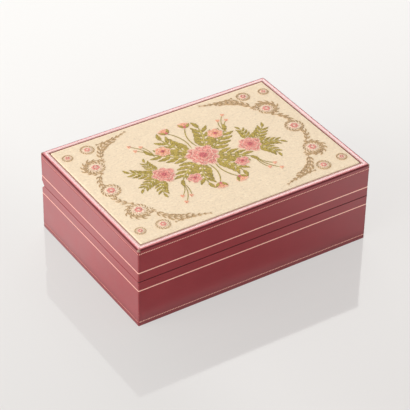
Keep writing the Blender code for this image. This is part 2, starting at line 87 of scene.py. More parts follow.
# How deep the rim's own leather reaches, and the fine seams at its corners
RIM_DEPTH = 0.4 * MM
MITRE_WIDTH = 0.12 * MM
MITRE_DEPTH = 0.07 * MM

# The rim from its rounded edge inwards: the width as a share of the flat part, how far it rises in
# millimetres, and whether it is gilt
RIM_STEPS = (
    (0.06, 0.06, False),
    (0.2, 0.08, False),
    (0.33, 0, False),
    (0.08, -0.03, False),
    (0.02, -0.02, False),
    (0.17, 0, True),
    (0.02, 0.02, False),
    (0.06, -0.05, False),
    (0.05, -0.12, False),
    (0.01, -1.11, False),
)

# The cloth of the padded pieces, and the frames that each simulation runs
CLOTH = {
    "quality": 6,
    "tension_stiffness": 25,
    "compression_stiffness": 25,
    "shear_stiffness": 10,
    "bending_stiffness": 0.4,
    "use_pressure": True,
}
SWELL_FRAMES = 20

# The pressure in a padded sheet, and how much of its crown is drawn and how much may swell
SHEET_PRESSURE = 6
CROWN_DRAWN = 0.6
CROWN_SWOLLEN = 0.4

# Gathers along a padded border: their spacing, how they drift, how far in they reach and start
FOLD_SPACING = 5.5 * MM
FOLD_DRIFT = 9 * MM
FOLD_REACH = 6 * MM
FOLD_START = 2 * MM

# The pads: how high the brocade's middle stands, the satin's grid and its rounding
BROCADE_CROWN = 0.7 * MM
SATIN_GRID = (132, 88)
SATIN_ROUND = 0.9 * MM
FLOOR_PAD_ROUND = 0.5 * MM
SOLE_ROUND = 0.3 * MM

# The tray's window round the cushion, and the ribbon's thickness and the radius of its loop
WINDOW_GAP = 1.6 * MM
RIBBON_THICKNESS = 0.4 * MM
RIBBON_RADIUS = 1.6 * MM

# The cushion: how square it is, how far a seam pinches it, and the seam's latitude on the sphere
SECTION_POWER = 2.9
SEAM_PINCH = 0.055
SEAM_LATITUDE = 60
END_SPREAD = 90 / (90 - SEAM_LATITUDE)
PUCKERS = 30
PUCKER_DEPTH = 0.006
PUCKER_REACH = 2.2 * MM

# The pressure in the cushion, how far from a seam its cloth is sewn down, and its mesh
CUSHION_PRESSURE = 4
SEWN_REACH = 0.7 * MM
CUSHION_SEGMENTS = 72
CUSHION_RINGS = 54

# The radius that a cord of piping has while it is a plain ring of radius 1
PLAIN_CORD = 0.1

# A woven form's thickness as a share of its relief, and how far each lies above the last
FORM_THICKNESS = 1.6
TRACE = 0.4 * TINY

# The compound leaves: pairs of lobes, the midrib's share of the reach, and the lobes' way and width
LEAF_PAIRS = 4
RIB_SHARE = 0.82
LOBE_SPREAD = 0.9
LOBE_WIDTH = 0.85
RIB_WIDTH = 0.42 * MM

# The plumes' leaflets and the daisies' ring of stitches: spacing and way, and the ring's radius
LEAFLET_SPACING = 3.3 * MM
LEAFLET_SPREAD = 0.95
DAISY_STITCHES = 15
DAISY_RING = 3.1 * MM

# Reaches that the sizes of the copies are worked out from: a petal, and the leaf that suits a lobe
PETAL_REACH = 9 * MM
FULL_LEAF = 22 * MM

# Two fans of leaves in the bouquet, in millimetres and degrees: each flower's place and its gap to
# the leaves, and for each leaf its way, its reach and its bend
LEAF_FANS = (
    (0, 2, 8, ((23, 27, 0.5), (53, 27, 0.6), (-24, 25, -0.5), (-54, 25, -0.6))),
    (31, -3, 5, ((70, 15, 0.5), (28, 19, 0.4), (-12, 17, -0.4), (-48, 17, -0.6))),
)

# The flowers in millimetres: place, radius, petals, silk, rings and turn
ROSE = (0, 2, 11.4, 9, "petal", 3, 0)
SIDE_FLOWERS = (
    (31, -3, 8.2, 7, "petal", 2, 0.3),
    (19, 18, 5.6, 6, "salmon", 2, 0),
    (17, -15.5, 5.2, 5, "petal", 2, 0.5),
)

# The buds behind and before the rose: which way they lie from it, and how far out
BUDS = ((1, 20), (-1, 18))

# The berries in millimetres: where their stems start and where they end
BERRY_ROOT = (26, 16)
BERRIES = ((28, 29), (33, 27), (34, 33))

# A corner's scroll in millimetres and degrees: middle, first and last radius, start and turn
SCROLL_MIDDLE = (62, 25)
SCROLL_RADII = (6.6, 7.5)
SCROLL_START = -95
SCROLL_TURN = 250
SCROLL_STEPS = 26

# A corner's plumes: first and last place, bulge and size
CORNER_PLUME = ((55, 29), (38, 45), -0.18, 1.1)
SHORT_SIDE_PLUME = ((61, 18), (68, 5), 0.16, 0.8)
LONG_SIDE_PLUME = ((50, 46), (28, 49), 0.06, 0.55)

# The daisies: place and size
SCROLL_DAISY_SIZE = 1.35
CORNER_DAISIES = ((57, 44, 1.05), (71.5, 42.5, 0.8))
MIDDLE_DAISY = (66, 0, 1.4)

# The lamps: the way to each from the box, its distance, its width and height, and its luminance
BACKDROP_WAY = (0.444, 0.672, 0.593)
SOFTBOXES = {
    "back_softbox": (BACKDROP_WAY, 1.6, (0.86, 0.82), 3.5),
    "left_softbox": ((-0.94, -0.05, 0.34), 1.5, (1.6, 1.5), 3.65),
}
LAMP_TINT = (1.0, 0.985, 0.95)

# Grey light from the horizon and from above, and the dark room that gloss finds
HORIZON_LIGHT = (1.3, 1.3, 1.3)
ZENITH_LIGHT = (0.45, 0.45, 0.45)
ROOM_LIGHT = (0.07, 0.07, 0.07)

# The point before the box round which the floor, as gloss mirrors it, is painted darker: painted shade
FLOOR_SHADE_PLACE = (-0.03, -0.095, 0)

# Places read from the solids
base_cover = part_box("base_leather_cover")
lid_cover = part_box("lid_leather_cover")
brocade_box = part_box("brocade_panel")
satin_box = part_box("lid_satin_panel")
cushion_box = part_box("watch_cushion")
hinge_joint = next(joint for joint in frame["joints"] if joint["name"] == "lid_hinge")
hinge_axis = Vector(hinge_joint["pos_m"])
half_width = lid_cover[1].x
half_depth = lid_cover[1].y
seam_height = hinge_axis.z
wall_inner_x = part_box("base_right_wall")[0].x
wall_inner_y = -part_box("base_front_wall")[1].y


def length(text, hint, default, low=0.0):
    """A size in metres that a user can set."""
    return FloatProperty(
        name=text, description=hint, default=default, min=low, unit="LENGTH", precision=5
    )


def colour(text, hint, default):
    return FloatVectorProperty(
        name=text, description=hint, default=default, size=3, min=0.0, max=1.0, subtype="COLOR"
    )


def angle(text, hint, degrees):
    return FloatProperty(
        name=text, description=hint, default=math.radians(degrees), subtype="ANGLE", unit="ROTATION"
    )


class LeatherSettings(bpy.types.PropertyGroup):
    """The leather of the case and the gilt lines in it."""

    tint: colour("Leather", "Colour of the glazed leather", (0.288, 0.018, 0.026))
    worn_tint: colour("Worn leather", "Colour where the edges are rubbed", (0.55, 0.2, 0.17))
    # Painted highlight: a paler tint on the rim's outer half that stands in for its sheen
    rim_painted_highlight: colour("Rim", "Colour of the rim's outer half, paler from handling", (0.58, 0.125, 0.135))
    bare_tint: colour("Bare leather", "Colour of the scuffed corners", (0.4, 0.25, 0.18))
    thickness: length("Thickness", "Thickness of the leather", 1 * MM)
    grain: length("Grain", "Width of one pebble of the leather's grain", 0.45 * MM)
    edge_round: length("Edge rounding", "Rounding of the case's outer edges", 0.9 * MM)
    seam_round: length("Seam rounding", "Rounding of the edges at the seam", 0.3 * MM)
    seam_gap: length("Seam gap", "Gap between the base and the closed lid", 0.16 * MM)
    foot_round: length("Foot rounding", "Rounding of the edges at the underside", 0.35 * MM)
    foot_drop: length("Foot drop", "How far the leather is drawn down to the felt", 0.25 * MM)
    leaf_tint: colour("Gold leaf", "Colour of the gilt lines", (1.0, 0.58, 0.47))
    line_width: length("Line width", "Width of one gilt line", 0.64 * MM)
    line_depth: length("Line depth", "Depth of the groove under a gilt line", 0.1 * MM)
    top_line: length("Top line", "Fine line's distance from the lid's top", 3.1 * MM)
    upper_line: length("Upper line", "Plain line's height above the seam", 6.5 * MM)
    lower_line: length("Lower line", "Plain line's depth under the seam", 6.5 * MM)
    bottom_line: length("Bottom line", "Fine line's height above the base's underside", 2.7 * MM)
    roll_pitch: length("Roll pitch", "Length of one bead of the fine lines", 1.1 * MM)


class BrocadeSettings(bpy.types.PropertyGroup):
    """The woven panel on the lid."""

    ground: colour("Ground", "Colour of the silk ground", (0.925, 0.745, 0.53))
    leaf: colour("Leaf", "Colour of the leaves", (0.41, 0.302, 0.062))
    leaf_edge: colour("Leaf outline", "Colour round the leaves", (0.22, 0.16, 0.05))
    leaf_rib: colour("Leaf rib", "Colour of the leaves' midribs", (0.62, 0.52, 0.2))
    petal: colour("Petal", "Colour of the large flowers", (0.7, 0.25, 0.21))
    petal_edge: colour("Petal outline", "Colour round the petals", (0.9, 0.64, 0.5))
    pale: colour("Pale petal", "Colour of the daisies' outer petals", (0.88, 0.6, 0.45))
    salmon: colour("Bud", "Colour of the buds and small flowers", (0.8, 0.33, 0.2))
    heart: colour("Flower heart", "Colour in the middle of the flowers", (0.52, 0.12, 0.13))
    vine: colour("Vine", "Colour of the scrolls and their leaves", (0.43, 0.285, 0.15))
    fleck: colour("Fleck", "Colour of the ground's lighter threads", (0.98, 0.85, 0.64))
    thread: length("Thread", "Distance between two threads of the ground", 0.3 * MM)
    basket: length("Basket", "Width of one check of the ground's basket weave", 1.15 * MM)
    columns: IntProperty(name="Columns", description="Cells across the panel", default=96, min=8)
    rows: IntProperty(name="Rows", description="Cells along the panel", default=66, min=8)
    edge_round: length("Edge rounding", "Rounding where the silk turns down", 0.65 * MM)
    relief: length("Relief", "How far a woven form stands above the ground", 0.12 * MM)


class InteriorSettings(bpy.types.PropertyGroup):
    """What lies inside the box, and the felt under it."""

    suede: colour("Suede", "Colour of the linings", (0.72, 0.6, 0.45))
    velvet: colour("Velvet", "Colour of the tray, the floor pad and the cushion", (0.7, 0.57, 0.4))
    satin: colour("Satin", "Colour of the lid's pad and the ribbon", (0.88, 0.79, 0.64))
    felt: colour("Felt", "Colour of the felt under the case", (0.035, 0.06, 0.035))
    card_round: length("Card rounding", "Rounding of the lining's edges", 0.6 * MM)
    tray_round: length("Tray rounding", "Rounding of the tray's edges", 0.8 * MM)
    window_round: length("Window rounding", "Rounding of the corners of the tray's window", 2.5 * MM)
    satin_gather: length("Satin gathers", "Depth of the folds along the satin's border", 0.75 * MM)
    cushion_end: length("Cushion end", "How far each end panel bulges from its seam", 5.5 * MM)
    cushion_swell: length("Cushion swell", "Most that the cushion's cloth may move", 1.2 * MM)
    piping: length("Piping", "Radius of the cord in the cushion's seams", 0.55 * MM)


class HardwareSettings(bpy.types.PropertyGroup):
    """The hinges and the wooden carcass."""

    brass: colour("Brass", "Colour of the hinges, pins and screws", (0.76, 0.53, 0.22))
    wood: colour("Wood", "Colour of the carcass", (0.45, 0.29, 0.16))
    wood_dark: colour("Late wood", "Colour of the wood's dark rings", (0.29, 0.165, 0.08))
    turned_leather: colour("Turned leather", "Leather turned in over the wood", (0.24, 0.014, 0.02))
    card: colour("Card", "Colour of the card under the brocade", (0.52, 0.47, 0.39))


class StageSettings(bpy.types.PropertyGroup):
    """The camera and the floor."""

    azimuth: angle("Azimuth", "Turn of the camera round the box", -33.44)
    elevation: angle("Elevation", "Height of the camera above the horizon", 36.34)
    roll: angle("Roll", "Tilt of the camera", 1.14)
    distance: length("Distance", "Distance of the camera from the box", 1.181)
    lens: FloatProperty(name="Lens", description="Focal length in millimetres", default=166.12)
    aim_right: length("Aim right", "Where the origin lies from the view's middle", -0.00094, -1)
    aim_up: length("Aim up", "Where the origin lies from the view's middle", -0.01679, -1)
    floor: colour("Floor", "Colour of the floor itself", (0.66, 0.655, 0.64))
    far_floor: colour("Far floor", "Colour of the lit floor behind the box", (0.935, 0.92, 0.9))
    # Painted shade: the darker glow of the floor before the box
    painted_near_floor_shade: colour("Near floor", "Colour of the lit floor before the box", (0.595, 0.563, 0.555))
    floor_shine: FloatProperty(
        name="Floor shine", description="How much the floor mirrors", default=0.043, min=0, max=1
    )
    floor_size: length("Floor size", "Width of the floor", 8.0)


class WatchBoxSettings(bpy.types.PropertyGroup):
    """All the sizes and colours of the box."""

    leather: PointerProperty(type=LeatherSettings)
    brocade: PointerProperty(type=BrocadeSettings)
    interior: PointerProperty(type=InteriorSettings)
    hardware: PointerProperty(type=HardwareSettings)
    stage: PointerProperty(type=StageSettings)


class Value:
    """A number, place or colour that a shader works out. Sums on a number add Math nodes."""

    def __init__(self, recipe, socket):
        self.recipe = recipe
        self.socket = socket

    def calc(self, operation, *others):
        return self.recipe.calc(operation, self, *others)

    def __rsub__(self, other):
        return self.recipe.calc("SUBTRACT", other, self)

    __add__ = __radd__ = partialmethod(calc, "ADD")
    __sub__ = partialmethod(calc, "SUBTRACT")
    __mul__ = __rmul__ = partialmethod(calc, "MULTIPLY")
    __abs__ = partialmethod(calc, "ABSOLUTE")
    highest = partialmethod(calc, "MAXIMUM")
    lowest = partialmethod(calc, "MINIMUM")

    def ramp(self, low, high):
        """0 below low, 1 above high, and smooth between them. low may be the higher one."""
        settings = {"interpolation_type": "SMOOTHSTEP"}
        inputs = {"Value": self, "From Min": low, "From Max": high}
        return self.recipe.node("ShaderNodeMapRange", settings, inputs)

    def wave(self, period):
        """Swings from 0 to 1 and back over each period."""
        return (self * (2 * math.pi / period)).calc("SINE") * 0.5 + 0.5

    def noise(self, size, detail=3.0, roughness=0.5):
        """Noise about 0.5 over a place, with lumps of about this size."""
        inputs = {"Vector": self, "Scale": 1 / size, "Detail": detail, "Roughness": roughness}
        return self.recipe.node("ShaderNodeTexNoise", inputs=inputs)

    def parts(self):
        made = self.recipe.node("ShaderNodeSeparateXYZ", inputs={"Vector": self})
        return [Value(self.recipe, made.socket.node.outputs[axis]) for axis in "XYZ"]

    def stretched(self, *scale):
        return self.recipe.vector("MULTIPLY", self, scale)


class Recipe:
    """The nodes of one material or world."""

    def __init__(self, block):
        block.use_nodes = True
        self.block = block
        self.tree = block.node_tree
        self.tree.nodes.clear()

    def node(self, kind, settings=None, inputs=None, output=0):
        """Adds one node and returns one of its outputs, if it has any. The settings are set first."""
        made = self.tree.nodes.new(kind)
        for name, value in (settings or {}).items():
            setattr(made, name, value)
        for name, value in (inputs or {}).items():
            if isinstance(value, Value):
                self.tree.links.new(value.socket, made.inputs[name])
            else:
                made.inputs[name].default_value = value
        return Value(self, made.outputs[output]) if made.outputs else None

    def calc(self, operation, *values):
        return self.node("ShaderNodeMath", {"operation": operation}, dict(enumerate(values)))

    def vector(self, operation, *values, output="Vector"):
        settings = {"operation": operation}
        return self.node("ShaderNodeVectorMath", settings, dict(enumerate(values)), output)

    def place(self):
        """The point of the surface, in metres."""
        return self.node("ShaderNodeTexCoord", output="Object")

    def ray(self, kind):
        """1 for light rays of one kind, else 0."""
        return self.node("ShaderNodeLightPath", output=f"Is {kind} Ray")

    def mix(self, factor, first, second):
        inputs = {0: factor, 6: solid(first), 7: solid(second)}
        return self.node("ShaderNodeMix", {"data_type": "RGBA"}, inputs, output=2)

    def layers(self, tint, *coats):
        """A tint under coats of colour. Each coat is a mask and the colour that shows where it is 1."""
        for mask, coat in coats:
            tint = self.mix(mask, tint, coat)
        return tint

    def bump(self, height, distance, strength, normal=None):
        inputs = {"Height": height, "Distance": distance, "Strength": strength}
        if normal:
            inputs["Normal"] = normal
        return self.node("ShaderNodeBump", inputs=inputs)

    def surface(self, **sockets):
        """Ends the recipe with a Principled shader. A socket's name has _ for each space."""
        inputs = {name.replace("_", " "): solid(value) for name, value in sockets.items()}
        shader = self.node("ShaderNodeBsdfPrincipled", inputs=inputs)
        self.node("ShaderNodeOutputMaterial", inputs={"Surface": shader})
        self.block.diffuse_color = (0.5, 0.5, 0.5, 1)
        return self.block


def solid(value):
    """A colour as four numbers. Anything else stays as it is."""
    if isinstance(value, (Value, float, int)):
        return value
    return (*value, 1) if len(value) == 3 else value


def dyed(tint, factor):
    """A colour made lighter or darker."""
    return tuple(min(1, part * factor) for part in tint)


def new_recipe(name):
    return Recipe(bpy.data.materials.new(name))


def finish(name, make, *values):
    """The material of this name, made by its recipe when it is first needed."""
    return bpy.data.materials.get(name) or make(name, *values)


def leather_material(name, settings, coat_ior):
    """Glazed leather: fine pebbles and soft mottling, darker along its edges (partly burnished, partly
    painted shade), with painted shade at its foot, along its top edge and in the seam, dark in its mitres,
    a painted highlight on the rim, and rubbed or bare at its corners."""
    recipe = new_recipe(name)
    place = recipe.place()
    x, y, z = place.parts()
    from_x = half_width - abs(x)
    from_y = half_depth - abs(y)
    from_side = from_x.lowest(from_y)
    below_top = lid_cover[1].z - z
    from_top = abs(below_top)
    from_seam = abs(z - seam_height)
    from_edge = from_x.highest(from_y).lowest(from_side.highest(from_top))
    mottle = place.noise(14 * MM, 4, 0.55)
    specks = place.noise(1.1 * MM, 3, 0.6)
    from_tip = from_x.highest(from_y).highest(from_top) + (specks - 0.5) * 1.2 * MM
    # Painted shade: the shadow in the seam's gap, on the front and back only
    seam = from_seam.ramp(0.4 * MM, 0.2 * MM) * from_y.ramp(1 * MM, 0.6 * MM)
    mitre = abs(from_x - from_y).ramp(0.22 * MM, 0.08 * MM) * from_seam.ramp(0.6 * MM, 0.4 * MM)
    on_rim = below_top.ramp(0.2 * MM, 0.05 * MM)
    # Painted shade along the lid's top edge, where the rounding mirrors a dark room
    painted_top_edge_shade = (from_side + from_top).ramp(1.1 * MM, 0.6 * MM)
    rubbed = from_edge.ramp(0.9 * MM, 0.2 * MM) * (specks + mottle * 0.4).ramp(0.78, 0.9)
    rubbed = rubbed * from_top.ramp(1 * MM, 2.5 * MM)
    tint = recipe.layers(
        dyed(settings.tint, 0.96),
        (mottle.ramp(0.3, 0.75), dyed(settings.tint, 1.05)),
        # Darker along the edges: partly burnished leather, partly painted shade for the dark line that the
        # rounded edges mirror
        (from_edge.ramp(2.2 * MM, 0) * 0.45, dyed(settings.tint, 0.55)),
        # Painted shade: darker towards the foot, for the shade near the floor
        (z.ramp(9 * MM, 1.5 * MM) * 0.6, dyed(settings.tint, 0.55)),
        # Painted shade in the seam
        (seam * 0.85, dyed(settings.tint, 0.2)),
        # Painted highlight on the rim's outer half, standing in for its sheen
        (on_rim * from_side.ramp(2.9 * MM, 1.5 * MM), settings.rim_painted_highlight),
        # Painted shade along the top edge
        (painted_top_edge_shade * 0.85, dyed(settings.tint, 0.4)),
        (rubbed * 0.8, settings.worn_tint),
        (mitre * 0.8, dyed(settings.tint, 0.3)),
        (from_tip.ramp(1.7 * MM, 0.9 * MM) * 0.7, settings.bare_tint),
    )
    pebbles = recipe.node(
        "ShaderNodeTexVoronoi",
        {"feature": "SMOOTH_F1"},
        {"Vector": place, "Scale": 1 / settings.grain},
    )
    creases = place.noise(settings.grain * 3, 4, 0.65)
    relief = (pebbles * 0.5 + creases * 0.5) * (1 - from_top.ramp(1.2 * MM, 0.3 * MM) * 0.98)
    fine = recipe.bump(relief, 0.045 * MM, 0.5)
    dull = (on_rim * from_side.ramp(2.3 * MM, 1.3 * MM) * 0.5).highest(painted_top_edge_shade)
    dull = dull.highest(z.ramp(8 * MM, 1 * MM) * 0.4).highest(seam * 0.9)
    return recipe.surface(
        Base_Color=tint,
        Roughness=mottle.ramp(0.2, 0.8) * 0.12 + rubbed * 0.2 + 0.34,
        Normal=recipe.bump(place.noise(9 * MM, 1), 0.12 * MM, 0.5, fine),
        Coat_Weight=1 - dull,
        Coat_Roughness=0.15,
        Coat_IOR=coat_ior,
    )


def gilt_material(name, settings, fullness, tone, beaded=False):
    """Gold leaf pressed into the leather. It is thin in places, most of all on the short sides, and
    beaded on the fine lines."""
    recipe = new_recipe(name)
    place = recipe.place()
    x, y, _ = place.parts()
    short_side = (half_width - abs(x)).ramp(0.5 * MM, 0.3 * MM)
    cover = place.noise(0.8 * MM, 3, 0.6).ramp(0.22, 0.36) * fullness
    cover = cover * (1 - short_side * (0.5 if beaded else 0.3))
    height = place.noise(0.5 * MM, 2)
    if beaded:
        beads = (x + y).wave(settings.roll_pitch)
        cover = cover * beads.ramp(0.2, 0.45)
        height = height * 0.3 + beads
    return recipe.surface(
        Base_Color=recipe.mix(cover, settings.tint, dyed(settings.leaf_tint, tone)),
        Metallic=cover * 0.15,
        Roughness=0.5 - cover * 0.04,
        Normal=recipe.bump(height, 0.05 * MM, 0.6),
    )


def brocade_material(name, settings):
    """Cream silk: a small basket weave on a fine rib, with slubs along its weft."""
    recipe = new_recipe(name)
    place = recipe.place()
    x, y, _ = place.parts()
    drift = (place.noise(4 * MM, 1) - 0.5) * settings.basket
    weft = (y + drift).wave(settings.thread)
    basket = abs((x + drift).wave(settings.basket) - (y - drift).wave(settings.basket * 0.8))
    slubs = place.stretched(0.12, 1, 1).noise(0.5 * MM, 3, 0.6)
    flecks = place.noise(1.3 * MM, 3, 0.7)
    tint = recipe.layers(
        dyed(settings.ground, 0.94),
        (slubs.ramp(0.3, 0.7), dyed(settings.ground, 1.04)),
        (basket.ramp(0.75, 0.1) * 0.26, dyed(settings.ground, 0.66)),
        (flecks.ramp(0.54, 0.68) * 0.65, settings.fleck),
        (flecks.ramp(0.46, 0.32) * 0.55, dyed(settings.ground, 0.7)),
        (place.noise(12 * MM, 3).ramp(0.45, 0.75) * 0.25, dyed(settings.ground, 0.86)),
    )
    return recipe.surface(
        Base_Color=tint,
        Roughness=0.62,
        Normal=recipe.bump(weft * 0.3 + basket * 0.8 + slubs * 0.4 + flecks, 0.09 * MM, 0.6),
        Specular_IOR_Level=0.3,
        Sheen_Weight=0.1,
        Sheen_Roughness=0.4,
    )


def silk_material(name, core, edge, vein_share, edge_share, stitches):
    """Silk floats of one woven form. Its UV map runs from the form's foot to its tip, and across
    it. The outline, the midrib and the slanting stitches follow it."""
    recipe = new_recipe(name)
    run, across, _ = recipe.node("ShaderNodeTexCoord", output="UV").parts()
    side = abs(across * 2 - 1)
    place = recipe.place()
    uneven = (place.noise(0.7 * MM, 2) - 0.5) * 0.16
    border = (side + uneven).ramp(edge_share, edge_share + 0.06)
    tip = (run + uneven).ramp(0.9, 0.94)
    rib = side.ramp(vein_share + 0.03, vein_share)
    floats = (run - side * 0.16 + uneven * 0.05).wave(1 / stitches)
    flecks = place.noise(0.8 * MM, 2, 0.6)
    tint = recipe.layers(
        dyed(core, 1.2),
        (floats * 0.6, dyed(core, 0.62)),
        (place.noise(5 * MM, 2).ramp(0.35, 0.7) * 0.4, dyed(core, 1.45)),
        (flecks.ramp(0.52, 0.62) * 0.7, dyed(core, 0.45)),
        (flecks.ramp(0.47, 0.36) * 0.7, dyed(core, 1.7)),
        (border.highest(tip).highest(rib) * 0.9, edge),
    )
    return recipe.surface(
        Base_Color=tint,
        Roughness=0.6,
        Normal=recipe.bump(floats, 0.04 * MM, 0.6),
        Specular_IOR_Level=0.2,
    )


def nap_material(name, tint, size, depth, sheen):
    """Suede, velvet or felt: short fibres that lie in soft patches."""
    recipe = new_recipe(name)
    place = recipe.place()
    fibres = place.noise(size, 4, 0.7)
    shade = recipe.layers(
        dyed(tint, 0.94),
        (place.noise(size * 40, 3, 0.55).ramp(0.3, 0.7), dyed(tint, 1.03)),
        (fibres.ramp(0.35, 0.75) * 0.4, dyed(tint, 0.72)),
    )
    return recipe.surface(
        Base_Color=shade,
        Roughness=0.92,
        Normal=recipe.bump(fibres, depth, 0.8),
        Sheen_Weight=sheen,
        Sheen_Roughness=0.35,
    )


def satin_material(name, tint):
    """Smooth satin: fine warp lines and a soft, silky shine."""
    recipe = new_recipe(name)
    place = recipe.place()
    lines = (place.parts()[0] + place.noise(8 * MM, 1) * MM).wave(0.22 * MM)
    slubs = place.stretched(1, 0.06, 1).noise(0.6 * MM, 2)
    return recipe.surface(
        Base_Color=recipe.mix(slubs.ramp(0.35, 0.7), dyed(tint, 0.93), dyed(tint, 1.05)),
        Roughness=slubs.ramp(0.2, 0.8) * 0.1 + 0.3,
        Normal=recipe.bump(lines * 0.6 + slubs, 0.03 * MM, 0.4),
        Sheen_Weight=0.3,
        Sheen_Roughness=0.3,
    )


def velvet_finish(settings):
    return finish("cream_velvet", nap_material, settings.velvet, 0.25 * MM, 0.06 * MM, 0.6)


def satin_finish(settings):
    return finish("ivory_satin", satin_material, settings.satin)


def wood_material(name, settings, stretch):
    """Plain sawn wood with its grain along one axis. The leather is turned over its edge."""
    recipe = new_recipe(name)
    place = recipe.place()
    drawn = place.stretched(*stretch)
    pores = drawn.noise(0.7 * MM, 3, 0.7)
    turn_in = abs(place.parts()[2] - seam_height).ramp(TURN_IN, TURN_IN - 0.1 * MM)
    tint = recipe.layers(
        settings.wood,
        (drawn.noise(9 * MM, 2).wave(0.09) * 0.7, settings.wood_dark),
        (pores.ramp(0.6, 0.75) * 0.6, dyed(settings.wood_dark, 0.6)),
        (turn_in, settings.turned_leather),
    )
    return recipe.surface(
        Base_Color=tint,
        Roughness=pores.ramp(0.3, 0.8) * 0.2 + 0.55,
        Normal=recipe.bump(pores * (1 - turn_in * 0.8), 0.08 * MM, 0.6),
    )


def card_material(name, tint):
    """Plain card with its pulp showing."""
    recipe = new_recipe(name)
    pulp = recipe.place().noise(0.6 * MM, 4, 0.7)
    return recipe.surface(
        Base_Color=recipe.mix(pulp.ramp(0.3, 0.7), dyed(tint, 0.9), dyed(tint, 1.08)),
        Roughness=0.9,
        Normal=recipe.bump(pulp, 0.05 * MM, 0.6),
    )


def brass_material(name, tint):
    """Satin brass: fine brushing along the hinge and a little tarnish."""
    recipe = new_recipe(name)
    place = recipe.place()
    brushing = place.stretched(0.05, 1, 1).noise(0.12 * MM, 3, 0.6)
    tarnish = place.noise(2.5 * MM, 4, 0.65)
    return recipe.surface(
        Base_Color=recipe.mix(tarnish.ramp(0.55, 0.8) * 0.4, tint, dyed(tint, 0.55)),
        Metallic=1.0,
        Roughness=tarnish.ramp(0.4, 0.8) * 0.2 + 0.34,
        Normal=recipe.bump(brushing, 0.002 * MM, 0.2),
    )


def deselect():
    bpy.ops.object.select_all(action="DESELECT")


def make_active(*pieces):
    deselect()
    for piece in pieces:
        piece.select_set(True)
    bpy.context.view_layer.objects.active = pieces[0]


def new_piece(name):
    """The primitive that was just added, named and with its place worked into its mesh."""
    piece = bpy.context.object
    piece.name = name
    piece.data.name = name
    bpy.ops.object.transform_apply(location=True, rotation=True, scale=True)
    return piece


def add_block(name, low, high):
    deselect()
    low = Vector(low)
    high = Vector(high)
    bpy.ops.mesh.primitive_cube_add(size=1, location=(low + high) / 2, scale=high - low)
    return new_piece(name)


def add_rod(name, radius, start, end):
    """A cylinder along X between two points."""
    deselect()
    bpy.ops.mesh.primitive_cylinder_add(
        vertices=32,
        radius=radius,
        depth=(end - start).length,
        location=(start + end) / 2,
        rotation=(0, math.radians(90), 0),
    )
    return new_piece(name)


def remove(*pieces):
    for piece in pieces:
        bpy.data.objects.remove(piece)


@contextmanager
def editing(piece):
    """Edit mode on one piece, all of it selected at first."""
    make_active(piece)
    bpy.ops.object.mode_set(mode="EDIT")
    bpy.ops.mesh.select_mode(type="FACE")
    bpy.ops.mesh.select_all(action="SELECT")
    yield
    bpy.ops.object.mode_set(mode="OBJECT")


def pick(kind, test, needed=True):
    """In edit mode, selects only the verts, edges or faces that pass a test."""
    bpy.ops.mesh.select_mode(type={"verts": "VERT", "edges": "EDGE", "faces": "FACE"}[kind])
    bpy.ops.mesh.select_all(action="DESELECT")
    shape = bmesh.from_edit_mesh(bpy.context.edit_object.data)
    found = [item for item in getattr(shape, kind) if test(item)]
    for item in found:
        item.select_set(True)
    shape.select_flush_mode()
    bmesh.update_edit_mesh(bpy.context.edit_object.data)
    if needed and not found:
        raise RuntimeError(f"no {kind} to shape on {bpy.context.edit_object.name}")


def middle(item):
    """The middle of an edge or face."""
    return sum((vertex.co for vertex in item.verts), Vector()) / len(item.verts)


def paint_faces(slot):
    bpy.context.object.active_material_index = slot
    bpy.ops.object.material_slot_assign()


def add_modifier(piece, kind, **settings):
    modifier = piece.modifiers.new(kind.lower(), kind)
    for name, value in settings.items():
        setattr(modifier, name, value)
    return modifier


def apply_modifier(piece, kind, **settings):
    """Adds a modifier and works it into the mesh."""
    modifier = add_modifier(piece, kind, **settings)
    make_active(piece)
    bpy.ops.object.modifier_apply(modifier=modifier.name)


def soften(piece, width, degrees=30, segments=4):
    """Rounds the edges that are sharper than an angle."""
    apply_modifier(
        piece, "BEVEL", width=width, segments=segments, limit_method="ANGLE",
        angle_limit=math.radians(degrees),
    )


def cut_out(piece, *cutters):
    """Cuts each cutter's shape from the piece, and removes the cutter."""
    for cutter in cutters:
        apply_modifier(piece, "BOOLEAN", operation="DIFFERENCE", solver="MANIFOLD", object=cutter)
        remove(cutter)


def smooth(piece, degrees=32, weighted=True):
    make_active(piece)
    bpy.ops.object.shade_smooth_by_angle(angle=math.radians(degrees))
    if weighted:
        apply_modifier(piece, "WEIGHTED_NORMAL", keep_sharp=True)


def clean(piece):
    """Merges what lies together and turns every face outwards."""
    with editing(piece):
        bpy.ops.mesh.remove_doubles(threshold=TINY)
        bpy.ops.mesh.normals_make_consistent(inside=False)


def dress(piece, *materials):
    piece.data.materials.clear()
    for material in materials:
        piece.data.materials.append(material)


def keep(piece, body, slot, *nodes):
    """Fixes a finished piece to its body, in the place of the solids that it stands for."""
    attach(piece, body)
    if nodes:
        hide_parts(*nodes)


def slope_back(side, inset=0.0):
    """In edit mode, slopes the back edge at the seam. side is -1 on the base and 1 on the lid."""
    opening = math.radians((hinge_joint["range_deg"][1] + NOTCH_SPARE) / 2)
    outwards = Vector((0, math.sin(opening), -side * math.cos(opening)))
    bpy.ops.mesh.bisect(
        plane_co=hinge_axis - outwards * inset,
        plane_no=outwards,
        use_fill=True,
        clear_outer=True,
    )


